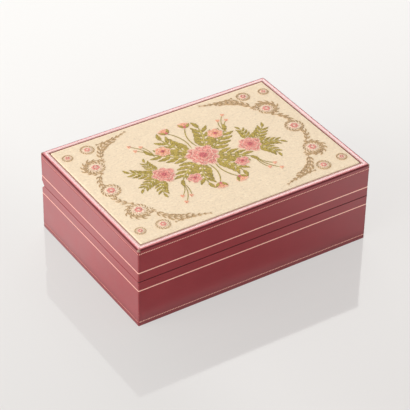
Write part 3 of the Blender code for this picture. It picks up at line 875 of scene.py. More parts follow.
def hinge_pockets(side):
    """What the hinges need cut from the leather of one half: a bed for each leaf and each knuckle."""
    half = "base" if side < 0 else "lid"
    cutters = []
    for hand in ("left", "right"):
        pin_low, pin_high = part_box(f"{hand}_hinge_pin")
        low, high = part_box(f"{hand}_hinge_{half}_leaf")
        start = Vector((pin_low.x - GAP, hinge_axis.y, hinge_axis.z))
        end = Vector((pin_high.x + GAP, hinge_axis.y, hinge_axis.z))
        radius = high.y - hinge_axis.y + GAP
        cutters.append(add_rod(f"{hand}_pocket", radius, start, end))
        bed_low, bed_high = sorted((seam_height + side * LEAF_BED, seam_height - side * LEAF_BED))
        cutters.append(
            add_block(f"{hand}_bed", (low.x, low.y - LEAF_BED, bed_low), (high.x, hinge_axis.y, bed_high))
        )
    return cutters


def round_case(shell, settings):
    """Rounds the outer edges, less along the seam, the notch and the foot than elsewhere."""

    def near_seam(edge):
        return abs(middle(edge).z - seam_height) < SEAM_REACH

    def at_foot(edge):
        return middle(edge).z < base_cover[0].z

    def elsewhere(edge):
        return not near_seam(edge) and not at_foot(edge)

    roundings = (
        (near_seam, settings.seam_round),
        (at_foot, settings.foot_round),
        (elsewhere, settings.edge_round),
    )
    with editing(shell):
        for test, rounding in roundings:
            pick("edges", test, needed=test is not at_foot)
            bpy.ops.transform.edge_bevelweight(value=rounding / settings.edge_round)
    apply_modifier(shell, "BEVEL", width=settings.edge_round, segments=5, limit_method="WEIGHT")


def tool_line(height, settings, slot):
    """In edit mode, presses a gilt line into the four sides at a height."""
    half = settings.line_width / 2
    slope = settings.line_depth
    for offset in (-half - slope, -half, half, half + slope):
        bpy.ops.mesh.select_all(action="SELECT")
        bpy.ops.mesh.bisect(plane_co=(0, 0, height + offset), plane_no=(0, 0, 1))
    pick("faces", lambda face: abs(middle(face).z - height) < half and abs(face.normal.z) < 0.5)
    paint_faces(slot)
    bpy.ops.transform.shrink_fatten(value=-settings.line_depth, use_even_offset=True)


def ring_place(point):
    """How far a point of the lid's top lies inside the case's outline."""
    return min(half_width - abs(point.x), half_depth - abs(point.y))


def tool_rim(settings):
    """In edit mode, shapes the lid's rim: a soft crown with a gilt line, then a turned edge. The
    corners are mitred, and a fine seam shows there."""
    top = lid_cover[1].z
    opening = half_width - brocade_box[1].x - GAP
    flat = opening - settings.edge_round
    pick("faces", lambda face: face.normal.z > 0.99 and middle(face).z > top - TINY)
    reached = settings.edge_round
    gilt = None
    for width_share, rise, is_gilt in RIM_STEPS:
        bpy.ops.mesh.inset(thickness=flat * width_share, depth=0, use_even_offset=True)
        bpy.ops.transform.translate(value=(0, 0, rise * MM))
        if is_gilt:
            gilt = reached, reached + flat * width_share
        reached += flat * width_share
    pick("faces", lambda face: face.normal.z > 0.7 and middle(face).z > top - RIM_DEPTH)
    paint_faces(RIM_LEATHER)
    pick("faces", lambda face: gilt[0] < ring_place(middle(face)) < gilt[1] and face.normal.z > 0.9)
    paint_faces(RIM_GILT)

    def on_mitre(item):
        points = [item.co] if isinstance(item, bmesh.types.BMVert) else [v.co for v in item.verts]
        gap = max(abs((half_width - abs(p.x)) - (half_depth - abs(p.y))) for p in points)
        inner = all(settings.edge_round * 0.9 < ring_place(p) < opening - TINY for p in points)
        return gap < TINY and inner and all(p.z > top - MM for p in points)

    pick("edges", on_mitre)
    bpy.ops.mesh.bevel(offset=MITRE_WIDTH, segments=2, affect="EDGES")
    pick("verts", on_mitre)
    bpy.ops.transform.translate(value=(0, 0, -MITRE_DEPTH))


def leather_finishes(settings):
    """The leather, the plain and the beaded gilt, and the rim's leather and gilt."""
    return [
        finish("glazed_leather", leather_material, settings, 1.6),
        finish("gilt_line", gilt_material, settings, 1, 1),
        finish("gilt_roll", gilt_material, settings, 0.9, 1, True),
        finish("polished_rim", leather_material, settings, 1.85),
        finish("gilt_rim", gilt_material, settings, 0.8, 0.6),
    ]


def leather_half(name, node, side, settings, lines):
    """The leather of one half: its sides, its far edge, and its turn-in over the rim at the seam."""
    low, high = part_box(node)
    (high if side < 0 else low).z = seam_height + side * settings.seam_gap / 2
    if side < 0:
        low.z -= settings.foot_drop
    shell = add_block(name, low, high)
    dress(shell, *leather_finishes(settings))
    with editing(shell):
        slope_back(side)
    round_case(shell, settings)
    with editing(shell):
        for height, slot in lines:
            tool_line(height, settings, slot)
        if side > 0:
            tool_rim(settings)
    inside = Vector((settings.thickness,) * 3)
    hollow = add_block("hollow", low + inside, high - inside)
    with editing(hollow):
        slope_back(side, settings.thickness)
    mouth_low, mouth_high = sorted(((low.z + high.z) / 2, seam_height - side * THROUGH))
    mouth = add_block(
        "mouth", (-wall_inner_x, -wall_inner_y, mouth_low), (wall_inner_x, wall_inner_y, mouth_high)
    )
    cutters = [hollow, mouth]
    if side < 0:
        felt_low, felt_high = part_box("underside_felt")
        gap = Vector((GAP, GAP, THROUGH))
        cutters.append(add_block("border", felt_low - gap, felt_high + gap))
    cut_out(shell, *cutters, *hinge_pockets(side))
    clean(shell)
    smooth(shell)
    return shell


def swell(piece, pressure, cap, pinned):
    """Simulates the cloth of a piece under pressure, and caps how far each point moves."""
    start = [vertex.co.copy() for vertex in piece.data.vertices]
    modifier = add_modifier(piece, "CLOTH")
    cloth = modifier.settings
    for name, value in CLOTH.items():
        setattr(cloth, name, value)
    cloth.uniform_pressure_force = pressure
    cloth.effector_weights.gravity = 0
    piece.vertex_groups.new(name="pinned").add(pinned, 1, "REPLACE")
    cloth.vertex_group_mass = "pinned"
    modifier.point_cache.frame_start = 1
    modifier.point_cache.frame_end = SWELL_FRAMES
    for step in range(1, SWELL_FRAMES + 1):
        bpy.context.scene.frame_set(step)
    make_active(piece)
    bpy.ops.object.modifier_apply(modifier=modifier.name)
    bpy.context.scene.frame_set(1)
    moves = [vertex.co - place for vertex, place in zip(piece.data.vertices, start)]
    factor = min(1, cap / max(move.length for move in moves))
    for vertex, place, move in zip(piece.data.vertices, start, moves):
        vertex.co = place + move * factor
    piece.vertex_groups.clear()


def padded_sheet(name, low, high, side, edge, crown, columns, rows, rounding, gather=0.0):
    """A padded panel with a flat back. side is 1 where it rises and -1 where it hangs. The cloth
    may be gathered into small folds along its border."""
    border = (low.z if side > 0 else high.z) + side * edge
    deselect()
    bpy.ops.mesh.primitive_grid_add(x_subdivisions=columns, y_subdivisions=rows, size=2)
    piece = bpy.context.object
    piece.location = ((low.x + high.x) / 2, (low.y + high.y) / 2, border)
    piece.scale = ((high.x - low.x) / 2, (high.y - low.y) / 2, 1)
    piece = new_piece(name)
    if side < 0:
        with editing(piece):
            bpy.ops.mesh.flip_normals()
    edge_points = []
    for vertex in piece.data.vertices:
        u = 2 * (vertex.co.x - low.x) / (high.x - low.x) - 1
        v = 2 * (vertex.co.y - low.y) / (high.y - low.y) - 1
        vertex.co.z = border + side * crown * CROWN_DRAWN * (1 - u**4) * (1 - v**4)
        from_x = (1 - abs(u)) * (high.x - low.x) / 2
        from_y = (1 - abs(v)) * (high.y - low.y) / 2
        for distance, run in ((from_x, vertex.co.y), (from_y, vertex.co.x)):
            fold = math.sin(2 * math.pi * run / FOLD_SPACING + 1.7 * math.sin(run / FOLD_DRIFT))
            fade = min(1, from_x / FOLD_START, from_y / FOLD_START) * math.exp(-distance / FOLD_REACH)
            vertex.co.z -= side * gather * (1 + fold) * fade
        if max(abs(u), abs(v)) > 0.9999:
            edge_points.append(vertex.index)
    swell(piece, SHEET_PRESSURE, crown * CROWN_SWOLLEN, edge_points)
    with editing(piece):
        bpy.ops.mesh.select_mode(type="EDGE")
        bpy.ops.mesh.select_all(action="DESELECT")
        bpy.ops.mesh.select_non_manifold()
        bpy.ops.mesh.extrude_region_move(TRANSFORM_OT_translate={"value": (0, 0, -side * edge)})
        bpy.ops.mesh.edge_face_add()
    clean(piece)
    soften(piece, rounding, 50)
    smooth(piece, 40, weighted=False)
    return piece


def bent(along, across, reach, bend):
    """A point of a form whose midrib is an arc. The arc turns by bend over the form's reach."""
    radius = reach / bend
    turn = along / radius
    return (radius - across) * math.sin(turn), radius - (radius - across) * math.cos(turn)


def leaf_form(reach, width, bend, lobes, notch):
    """A leaf with a pointed tip, whose lobes sweep forward."""

    def point(u, s):
        body = math.sin(math.pi * u**0.72) ** 0.8
        teeth = 1 - notch + notch * abs(math.sin(math.pi * lobes * u)) ** 0.7
        along = reach * (u + 0.13 * abs(s) * (1 - u) * u**0.3)
        return (*bent(along, s * width / 2 * body * teeth, reach, bend), 1 - 0.5 * s * s)

    return point


def petal_form(reach, width, lobes, notch):
    """A petal that widens from a narrow foot to a ruffled tip."""

    def point(u, s):
        body = 0.22 + 0.78 * math.sin(math.pi / 2 * min(1, u * 1.25)) ** 1.4
        rounding = math.sqrt(max(0, 1 - max(0, (u - 0.55) / 0.45) ** 2 * 0.72))
        tip = 1 - notch * (1 - abs(math.cos(math.pi * lobes * s / 2))) - 0.16 * s * s
        return reach * u * tip, s * width / 2 * body * rounding, 1 - 0.4 * s * s

    return point


def strip_form(line, width):
    """A narrow band along a line of points, thinner at its ends."""

    def point(u, s):
        place = u * (len(line) - 1)
        index = min(len(line) - 2, int(place))
        first = Vector(line[index])
        last = Vector(line[index + 1])
        ahead = (last - first).normalized()
        centre = first.lerp(last, place - index)
        taper = min(1, 0.35 + 4 * u, 0.35 + 4 * (1 - u))
        offset = Vector((-ahead.y, ahead.x)) * s * width / 2 * taper
        return centre.x + offset.x, centre.y + offset.y, 1 - 0.4 * s * s

    return point


def dome_form(radius):
    """A round knot of thread."""

    def point(u, s):
        turn = 2 * math.pi * u
        out = radius * (s + 1) / 2
        return out * math.cos(turn), out * math.sin(turn), 1.4 - 0.8 * ((s + 1) / 2) ** 2

    return point


# Each woven form: the columns and rows of its grid, and the outline that it is drawn to
FORMS = {
    "lobe": (18, 4, leaf_form(10 * MM, 3.9 * MM, 0.6, 3, 0.3)),
    "leaflet": (8, 2, leaf_form(10 * MM, 3.1 * MM, 1, 2, 0.25)),
    "petal": (12, 13, petal_form(PETAL_REACH, 8 * MM, 4, 0.2)),
    "small_petal": (6, 4, petal_form(3.1 * MM, 3.3 * MM, 1, 0.1)),
    "barb": (5, 2, leaf_form(6.2 * MM, 1.8 * MM, 1.3, 1, 0)),
    "knot": (12, 3, dome_form(0.9 * MM)),
}


def weave(name, columns, rows, form, relief):
    """A thin woven form, made from a grid that keeps its UV map."""
    deselect()
    bpy.ops.mesh.primitive_grid_add(x_subdivisions=columns, y_subdivisions=rows, size=1)
    piece = new_piece(name)
    for vertex in piece.data.vertices:
        x, y, rise = form(vertex.co.x + 0.5, vertex.co.y * 2)
        vertex.co = x, y, rise * relief
    clean(piece)
    return piece


def step_on(x, y, facing, along, across=0.0):
    """The place that lies ahead of a point, and to the left of the way that it faces."""
    return Vector((x, y)) + Matrix.Rotation(facing, 2) @ Vector((along, across))


def arc(start, end, bulge, steps=14):
    """Points of a bow between two places. It bulges to the left by a share of its span."""
    start = Vector(start)
    end = Vector(end)
    left = Vector((start.y - end.y, end.x - start.x)) * bulge
    shares = [step / steps for step in range(steps + 1)]
    return [start.lerp(end, t) + left * 4 * t * (1 - t) for t in shares]


class Weaving:
    """The woven design: its silks, the forms that it repeats, and the copies laid so far."""

    def __init__(self, settings):
        silks = {
            "rib": (settings.leaf_rib, settings.leaf_rib, 0, 0.9, 30),
            "leaf": (settings.leaf, settings.leaf_edge, 0.03, 0.84, 15),
            "scroll": (settings.vine, dyed(settings.vine, 1.5), 0, 0.8, 12),
            "petal": (settings.petal, settings.petal_edge, 0, 0.8, 11),
            "pale": (settings.pale, dyed(settings.pale, 0.8), 0, 0.8, 8),
            "salmon": (settings.salmon, settings.petal_edge, 0, 0.76, 8),
            "heart": (settings.heart, settings.petal, 0, 0.8, 6),
        }
        self.relief = settings.relief
        self.silks = {name: silk_material(f"{name}_silk", *silk) for name, silk in silks.items()}
        self.copies = {name: [] for name in silks}
        self.forms = {name: weave(name, *form, self.relief) for name, form in FORMS.items()}

    def lay(self, silk, form, x, y, turn=0, size=1.0, lift=0.0, mirror=False, wide=1.0):
        """Lays one copy of a form at a place of the panel."""
        copies = self.copies[silk]
        copy = self.forms[form].copy()
        copy.data = copy.data.copy()
        bpy.context.scene.collection.objects.link(copy)
        flip = -1 if mirror else 1
        copy.matrix_world = (
            Matrix.Translation((x, y, lift * self.relief + len(copies) * TRACE))
            @ Matrix.Rotation(turn, 4, "Z")
            @ Matrix.Diagonal((size, size * wide * flip, 1, 1))
        )
        copies.append(copy)

    def lay_strip(self, silk, line, width, columns, x=0, y=0, turn=0, lift=0.0):
        """Lays a narrow band along a line of points."""
        self.forms["strip"] = weave("strip", columns, 2, strip_form(line, width), self.relief)
        self.lay(silk, "strip", x, y, turn, 1, lift)
        remove(self.forms.pop("strip"))

    def stem(self, line, width=0.7, silk="leaf"):
        self.lay_strip(silk, line, width * MM, 4 * len(line))

    def acanthus(self, x, y, facing, reach, bend):
        """A compound leaf: pairs of lobes along a bent midrib, and a lobe at its tip."""
        rib = [bent(reach * RIB_SHARE * step / 12, 0, reach, bend) for step in range(13)]
        for number in range(LEAF_PAIRS + 1):
            run = RIB_SHARE * (number + 0.35) / (LEAF_PAIRS + 0.35)
            place = step_on(x, y, facing, *bent(reach * run, 0, reach, bend))
            heading = facing + bend * run
            size = reach / FULL_LEAF * (0.94 - 0.36 * run)
            if number == LEAF_PAIRS:
                self.lay("leaf", "lobe", *place, heading, size, 0.4, bend < 0)
                continue
            for side in (-1, 1):
                turn = heading + side * LOBE_SPREAD
                self.lay("leaf", "lobe", *place, turn, size, 0.2, side > 0, LOBE_WIDTH)
        self.lay_strip("leaf", rib, reach * 0.05, 24, x, y, facing, 0.1)
        self.lay_strip("rib", rib, RIB_WIDTH, 24, x, y, facing, 1.1)

    def flower(self, x, y, radius, petals, silk, rings, turn):
        """Rings of petals, the inner ones smaller and higher, round a heart of knots."""
        for ring in range(rings):
            size = radius / PETAL_REACH * (1 - 0.3 * ring)
            count = petals - ring
            for number in range(count):
                facing = turn + ring * 0.4 + 2 * math.pi * number / count
                uneven = size * (1 + 0.08 * math.sin(3 * facing + ring))
                lift = 1 + 0.8 * ring
                self.lay(silk, "petal", x, y, facing, uneven, lift, wide=min(1, 6.4 / count))
        for number in range(7):
            facing = 2 * math.pi * number / 6
            place = step_on(x, y, facing, radius * 0.15 if number else 0)
            self.lay("heart", "knot", *place, facing, radius / (10 * MM), 1.2 + rings)

    def bud(self, x, y, facing, size):
        """Three salmon petals that open from between two green lobes."""
        for number in (-1, 1, 0):
            turn = facing + number * 0.5
            self.lay("salmon", "petal", x, y, turn, 0.62 * size, 0.9 - 0.3 * abs(number))
        for side in (-1, 1):
            self.lay("leaf", "lobe", x, y, facing + side, 0.5 * size, 1.2, side > 0)
        self.lay("heart", "knot", *step_on(x, y, facing, 0.8 * MM), 0, size, 2.2)

    def daisy(self, x, y, size):
        """Six pale petals, six smaller pink ones on them and a pale knot, in a ring of stitches."""
        for number in range(6):
            facing = math.radians(60 * number)
            self.lay("pale", "small_petal", x, y, facing, size, 0.8)
            self.lay("petal", "small_petal", x, y, facing + 0.5, size * 0.68, 1.6)
        self.lay("pale", "knot", x, y, 0, size * 0.75, 2.6)
        for number in range(DAISY_STITCHES):
            facing = 2 * math.pi * number / DAISY_STITCHES
            place = step_on(x, y, facing, DAISY_RING * size)
            self.lay("scroll", "barb", *place, facing + 0.55, 0.38 * size, 0.3)

    def plume(self, line, size, start=0.0):
        """A leafy frond: a thin shaft with a leaflet on each side every few millimetres."""
        self.stem(line, 0.6, "scroll")
        count = int(sum((b - a).length for a, b in zip(line, line[1:])) / LEAFLET_SPACING)
        for number in range(int(start * count), count + 1):
            place = number / count * (len(line) - 1)
            index = min(len(line) - 2, int(place))
            ahead = line[index + 1] - line[index]
            point = line[index] + ahead * (place - index)
            heading = math.atan2(ahead.y, ahead.x)
            swelling = 0.28 * math.sin(math.pi * number / count)
            reach = size * (0.24 + swelling + 0.06 * math.sin(number * 2.4))
            for side in (-1, 1):
                turn = heading + side * LEAFLET_SPREAD
                self.lay("scroll", "leaflet", *point, turn, reach, 0.3, side > 0)

    def berries(self, side, end):
        """Three clusters of berries on thin stems between the bouquet's leaves."""
        root = Vector((side * BERRY_ROOT[0] * MM, end * BERRY_ROOT[1] * MM))
        for x, y in BERRIES:
            place = Vector((side * x * MM, end * y * MM))
            self.stem(arc(root, place, side * end * 0.1, 8), 0.5)
            for facing in (0.0, 2.1, 4.2):
                self.lay("salmon", "knot", *step_on(*place, facing, 0.7 * MM), 0, 0.9, 1)

    def bouquet(self):
        """The rose, the smaller flowers round it, and the leaves, buds and berries between them."""
        for side in (-1, 1):
            for root_x, root_y, gap, leaves in LEAF_FANS:
                for degrees, reach, bend in leaves:
                    turn = math.radians(degrees)
                    x, y = step_on(root_x * MM, root_y * MM, turn, gap * MM)
                    facing = turn if side > 0 else math.pi - turn
                    self.acanthus(side * x, y, facing, reach * MM, side * bend)
            for end, reach in BUDS:
                place = Vector((side * 6.5 * MM, 2 * MM + end * (reach + 11) * MM))
                self.stem(arc((side * 2 * MM, 2 * MM + end * 10 * MM), place, side * end * 0.12))
                self.bud(*place, math.radians(90 * end - side * end * 14), 1.15)
                self.berries(side, end)
            for x, y, radius, *values in SIDE_FLOWERS:
                self.flower(side * x * MM, y * MM, radius * MM, *values)
        x, y, radius, *values = ROSE
        self.flower(x * MM, y * MM, radius * MM, *values)

    def corner_scroll(self, side, end):
        """A scroll that winds round a daisy, plumes to the corner and along both sides, and two
        more daisies."""
        mirrored = Vector((side * MM, end * MM))

        def placed(points):
            return [Vector((side * point.x, end * point.y)) for point in points]

        def bow(start, stop, bulge, size):
            self.plume(placed(arc(Vector(start) * MM, Vector(stop) * MM, bulge)), size)

        centre = Vector(SCROLL_MIDDLE) * MM
        scroll = []
        for step in range(SCROLL_STEPS + 1):
            turn = math.radians(SCROLL_START + SCROLL_TURN * step / SCROLL_STEPS)
            growth = (SCROLL_RADII[1] - SCROLL_RADII[0]) * step / SCROLL_STEPS
            way = Vector((math.cos(turn), math.sin(turn)))
            scroll.append(centre + way * (SCROLL_RADII[0] + growth) * MM)
        self.plume(placed(scroll), 0.75, 0.1)
        self.daisy(*(Vector(SCROLL_MIDDLE) * mirrored), SCROLL_DAISY_SIZE)
        bow(*CORNER_PLUME)
        bow(*SHORT_SIDE_PLUME)
        for x, y, size in CORNER_DAISIES:
            self.daisy(*(Vector((x, y)) * mirrored), size)
        bow(*LONG_SIDE_PLUME)

    def join(self, silk, ground, name):
        """Joins the copies of one silk, lays them on the panel's crown and gives them thickness."""
        make_active(*self.copies[silk])
        bpy.ops.object.join()
        piece = new_piece(name)
        above = brocade_box[1].z + 20 * MM
        for vertex in piece.data.vertices:
            x, y, rise = vertex.co
            place = ground.ray_cast(Vector((x, y, above)), Vector((0, 0, -1)))[0]
            if place is None:
                raise RuntimeError(f"{name} reaches off the brocade at {x:.4f}, {y:.4f}")
            vertex.co.z = place.z + rise
        with editing(piece):
            pick("faces", lambda face: face.normal.z < 0, needed=False)
            bpy.ops.mesh.flip_normals()
        apply_modifier(piece, "SOLIDIFY", thickness=self.relief * FORM_THICKNESS, offset=-1)
        smooth(piece, 50, weighted=False)
        dress(piece, self.silks[silk])
        keep(piece, "lid", "floral_brocade")


def weave_flowers(panel, settings):
    """The woven design, alike on the left and the right: a bouquet round one large rose, and leafy
    scrolls with daisies along the short sides."""
    ground = BVHTree.FromObject(panel, bpy.context.evaluated_depsgraph_get())
    weaving = Weaving(settings)
    weaving.bouquet()
    x, y, size = MIDDLE_DAISY
    for side in (-1, 1):
        for end in (-1, 1):
            weaving.corner_scroll(side, end)
        weaving.daisy(side * x * MM, y * MM, size)
    for silk in weaving.copies:
        weaving.join(silk, ground, f"brocade_{silk}s")
    remove(*weaving.forms.values())


def stage_camera(settings):
    level = math.cos(settings.elevation)
    back = Vector((
        math.sin(settings.azimuth) * level,
        -math.cos(settings.azimuth) * level,
        math.sin(settings.elevation),
    ))
    right = Vector((0, 0, 1)).cross(back).normalized()
    right.rotate(Matrix.Rotation(settings.roll, 3, back))
    up = back.cross(right)
    bpy.ops.object.camera_add()
    camera = bpy.context.object
    camera.name = "photo_camera"
    place = settings.distance * back - settings.aim_right * right - settings.aim_up * up
    camera.matrix_world = Matrix.Translation(place) @ Matrix((right, up, back)).transposed().to_4x4()
    camera.data.lens = settings.lens
    camera.data.sensor_width = 36
    camera.data.clip_start = 0.01
    bpy.context.scene.camera = camera


def stage_floor(settings):
    """A pale, polished floor that keeps a soft shadow and a faint mirror image of the box. Its glow is
    painted lighter behind the box and to its left and darker before it, and where the box's gloss mirrors
    it, it is painted dark near the box's front.
    """
    deselect()
    bpy.ops.mesh.primitive_grid_add(x_subdivisions=8, y_subdivisions=8, size=settings.floor_size)
    floor = new_piece("studio_floor")
    recipe = new_recipe("pale_floor")
    place = recipe.place()
    x, y, _ = place.parts()
    # Painted light and shade in the floor's glow: lighter behind the box and to its left, darker before it
    along = x * 0.08 + y
    lit = along.ramp(-0.42, 0.4).highest(along.ramp(-0.4, -0.9))
    lit = lit + x.ramp(0.02, -0.14) * (1 - lit) * 0.2
    tint = recipe.mix(lit, settings.painted_near_floor_shade, settings.far_floor)
    # Painted shade in the floor that the box's gloss mirrors: dark near the box's front, pale further off
    # and beside it
    away = recipe.vector("DISTANCE", place, FLOOR_SHADE_PLACE, output="Value")
    beside = y.ramp(-0.072, -0.06) * (y.ramp(-0.03, 0.05) * 0.54 + 0.52)
    mirror_unshaded = away.ramp(0.03, 0.2).highest(beside)
    mirror_painted_shade = recipe.mix(mirror_unshaded, dyed(settings.far_floor, 0.1), settings.far_floor)
    glossy = recipe.ray("Glossy")
    seen = recipe.ray("Camera").highest(glossy).highest(recipe.ray("Transmission"))
    shine = (x.ramp(-0.12, -0.04) * 0.55 + 0.45) * settings.floor_shine
    matt = recipe.node("ShaderNodeBsdfDiffuse", inputs={"Color": solid(settings.floor)})
    glow = recipe.node("ShaderNodeEmission", inputs={"Color": recipe.mix(glossy, tint, mirror_painted_shade)})
    mirror = recipe.node("ShaderNodeBsdfGlossy", inputs={"Roughness": 0.06})
    body = recipe.node("ShaderNodeMixShader", inputs={0: seen * 0.75, 1: matt, 2: glow})
    shader = recipe.node("ShaderNodeMixShader", inputs={0: shine, 1: body, 2: mirror})
    recipe.node("ShaderNodeOutputMaterial", inputs={"Surface": shader})
    dress(floor, recipe.block)


def stage_world(settings):
    """White to the camera and even to the box. Gloss finds a pale backdrop in a dark room."""
    world = bpy.data.worlds.new("studio")
    bpy.context.scene.world = world
    recipe = Recipe(world)
    direction = recipe.node("ShaderNodeTexCoord", output="Generated")
    soft = recipe.mix(direction.parts()[2].ramp(0, 0.7), HORIZON_LIGHT, ZENITH_LIGHT)
    mirrored = recipe.vector("DOT_PRODUCT", direction, BACKDROP_WAY, output="Value")
    room = recipe.mix(mirrored.ramp(0.8, 0.95), ROOM_LIGHT, settings.far_floor)
    tint = recipe.mix(recipe.ray("Glossy").highest(recipe.ray("Transmission")), soft, room)
    tint = recipe.mix(recipe.ray("Camera"), tint, settings.far_floor)
    shade = recipe.node("ShaderNodeBackground", inputs={"Color": tint, "Strength": 1.0})
    recipe.node("ShaderNodeOutputWorld", inputs={"Surface": shade})


def softbox(name, way, distance, size, luminance):
    """A rectangular lamp that faces the box."""
    bpy.ops.object.light_add(type="AREA")
    lamp = bpy.context.object
    lamp.name = name
    lamp.data.name = name
    lamp.data.shape = "RECTANGLE"
    lamp.data.size, lamp.data.size_y = size
    lamp.data.energy = luminance * math.pi * size[0] * size[1]
    lamp.data.color = LAMP_TINT
    away = Vector(way).normalized()
    lamp.location = away * distance
    lamp.rotation_mode = "QUATERNION"
    lamp.rotation_quaternion = away.to_track_quat("Z", "Y")


def cover_card(name, node, rounding, material, body, slot):
    """A board covered in cloth, with soft edges."""
    card = add_block(name, *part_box(node))
    soften(card, rounding)
    smooth(card, 40)
    dress(card, material)
    keep(card, body, slot, node)
    return card


def bend_ribbon(settings):
    """A ribbon that rises in a loop between two feet glued to the tray."""
    low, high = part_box("ribbon_tab")
    middle_y = (low.y + high.y) / 2
    foot = (high.y - low.y) / 2 - RIBBON_RADIUS
    level = low.z + RIBBON_THICKNESS / 2
    rise = high.z - level - RIBBON_RADIUS - RIBBON_THICKNESS / 2
    deselect()
    bpy.ops.mesh.primitive_grid_add(x_subdivisions=6, y_subdivisions=48, size=1)
    ribbon = new_piece("satin_ribbon")
    whole = 2 * foot + 2 * rise + math.pi * RIBBON_RADIUS
    for vertex in ribbon.data.vertices:
        run = (vertex.co.y + 0.5) * whole
        side = -1 if run < whole / 2 else 1
        left = min(run, whole - run)
        if left < foot:
            across, up = RIBBON_RADIUS + foot - left, 0
        elif left < foot + rise:
            across, up = RIBBON_RADIUS, left - foot
        else:
            turn = (left - foot - rise) / RIBBON_RADIUS
            across, up = RIBBON_RADIUS * math.cos(turn), rise + RIBBON_RADIUS * math.sin(turn)
        vertex.co = vertex.co.x * (high.x - low.x), middle_y + side * across, level + up
    clean(ribbon)
    apply_modifier(ribbon, "SOLIDIFY", thickness=RIBBON_THICKNESS, offset=0)
    soften(ribbon, 0.1 * MM, 60, 2)
    smooth(ribbon, 50, weighted=False)
    dress(ribbon, satin_finish(settings))
    return ribbon


def section(turn, half):
    """A point on the cushion's round-cornered cross-section."""
    ahead, up = math.cos(turn), math.sin(turn)
    size = (abs(ahead) ** SECTION_POWER + abs(up) ** SECTION_POWER) ** (-1 / SECTION_POWER)
    return Vector((0, half.y * ahead * size, half.z * up * size))


def roll_point(point, half, seam):
    """Where a point of a unit sphere, with its poles on X, goes on the cushion."""
    turn = math.atan2(point.z, point.y)
    latitude = math.degrees(math.asin(max(-1, min(1, point.x))))
    side = 1 if latitude > 0 else -1
    share_out = abs(latitude) / SEAM_LATITUDE
    if share_out <= 1:
        x = seam * share_out
        size = 1 - SEAM_PINCH * share_out**10 - 0.02 * share_out**2
    else:
        bulge = math.radians((abs(latitude) - SEAM_LATITUDE) * END_SPREAD)
        x = seam + (half.x - seam) * math.sin(bulge) ** 0.8
        size = (1 - SEAM_PINCH) * math.cos(bulge) ** 0.55 if bulge < 1.57 else 0
    from_seam = abs(x - seam)
    fade = math.exp(-from_seam / PUCKER_REACH)
    size += PUCKER_DEPTH * math.sin(PUCKERS * turn) * fade * min(1, from_seam / MM)
    return Vector((side * x, 0, 0)) + section(turn, half) * size


def seam_cord(name, x, half, centre, radius):
    """A cord sewn into a seam round the cushion."""
    deselect()
    bpy.ops.mesh.primitive_torus_add(
        major_segments=120,
        minor_segments=10,
        major_radius=1,
        minor_radius=PLAIN_CORD,
        rotation=(0, math.radians(90), 0),
    )
    cord = new_piece(name)
    for vertex in cord.data.vertices:
        turn = math.atan2(vertex.co.z, vertex.co.y)
        out = (math.hypot(vertex.co.y, vertex.co.z) - 1) / PLAIN_CORD * radius
        beside = Vector((x + vertex.co.x / PLAIN_CORD * radius, 0, 0))
        ring = section(turn, half) * (1 - SEAM_PINCH * 0.8)
        vertex.co = centre + ring + ring.normalized() * out + beside
    smooth(cord, 60, weighted=False)
    return cord


def fit(piece, low, high):
    """Scales a piece's mesh so that it just fills a box."""
    points = [vertex.co for vertex in piece.data.vertices]
    least = Vector([min(point[axis] for point in points) for axis in range(3)])
    most = Vector([max(point[axis] for point in points) for axis in range(3)])
    size = Vector([(high[axis] - low[axis]) / (most[axis] - least[axis]) for axis in range(3)])
    piece.data.transform(
        Matrix.Translation(low) @ Matrix.Diagonal(size).to_4x4() @ Matrix.Translation(-least)
    )


class WATCHBOX_OT_stage(bpy.types.Operator):
    """Sets up the pale floor, the soft light and the camera."""

    bl_idname = "watchbox.stage"
    bl_label = "Stage"

    def execute(self, context):
        settings = context.scene.watch_box.stage
        context.scene.view_settings.view_transform = "Standard"
        stage_camera(settings)
        stage_floor(settings)
        stage_world(settings)
        for name, values in SOFTBOXES.items():
            softbox(name, *values)
        return {"FINISHED"}


class WATCHBOX_OT_base_leather(bpy.types.Operator):
    """Covers the base in leather, with a plain gilt line and a beaded one round it."""

    bl_idname = "watchbox.base_leather"
    bl_label = "Base leather"

    def execute(self, context):
        settings = context.scene.watch_box.leather
        lines = [
            (seam_height - settings.lower_line, PLAIN_GILT),
            (base_cover[0].z + settings.bottom_line, BEADED_GILT),
        ]
        shell = leather_half("base_leather", "base_leather_cover", -1, settings, lines)
        keep(shell, "base", "burgundy_leather", "base_leather_cover")
        return {"FINISHED"}


class WATCHBOX_OT_lid_leather(bpy.types.Operator):
    """Covers the lid in leather, with two gilt lines round it and one on its rim."""

    bl_idname = "watchbox.lid_leather"
    bl_label = "Lid leather"

    def execute(self, context):
        settings = context.scene.watch_box.leather
        lines = [
            (seam_height + settings.upper_line, PLAIN_GILT),
            (lid_cover[1].z - settings.top_line, BEADED_GILT),
        ]
        shell = leather_half("lid_leather", "lid_leather_cover", 1, settings, lines)
        keep(shell, "lid", "burgundy_leather", "lid_leather_cover")
        return {"FINISHED"}


class WATCHBOX_OT_brocade(bpy.types.Operator):
    """Pads the brocade over its card and lays the woven flowers on it."""

    bl_idname = "watchbox.brocade"
    bl_label = "Brocade"

    def execute(self, context):
        settings = context.scene.watch_box.brocade
        low, high = brocade_box
        edge = high.z - low.z - BROCADE_CROWN
        panel = padded_sheet(
            "brocade_pad", low, high, 1, edge, BROCADE_CROWN, settings.columns, settings.rows,
            settings.edge_round,
        )
        dress(panel, brocade_material("brocade_ground", settings))
        keep(panel, "lid", "floral_brocade", "brocade_panel")
        context.view_layer.update()
        weave_flowers(panel, settings)
        return {"FINISHED"}


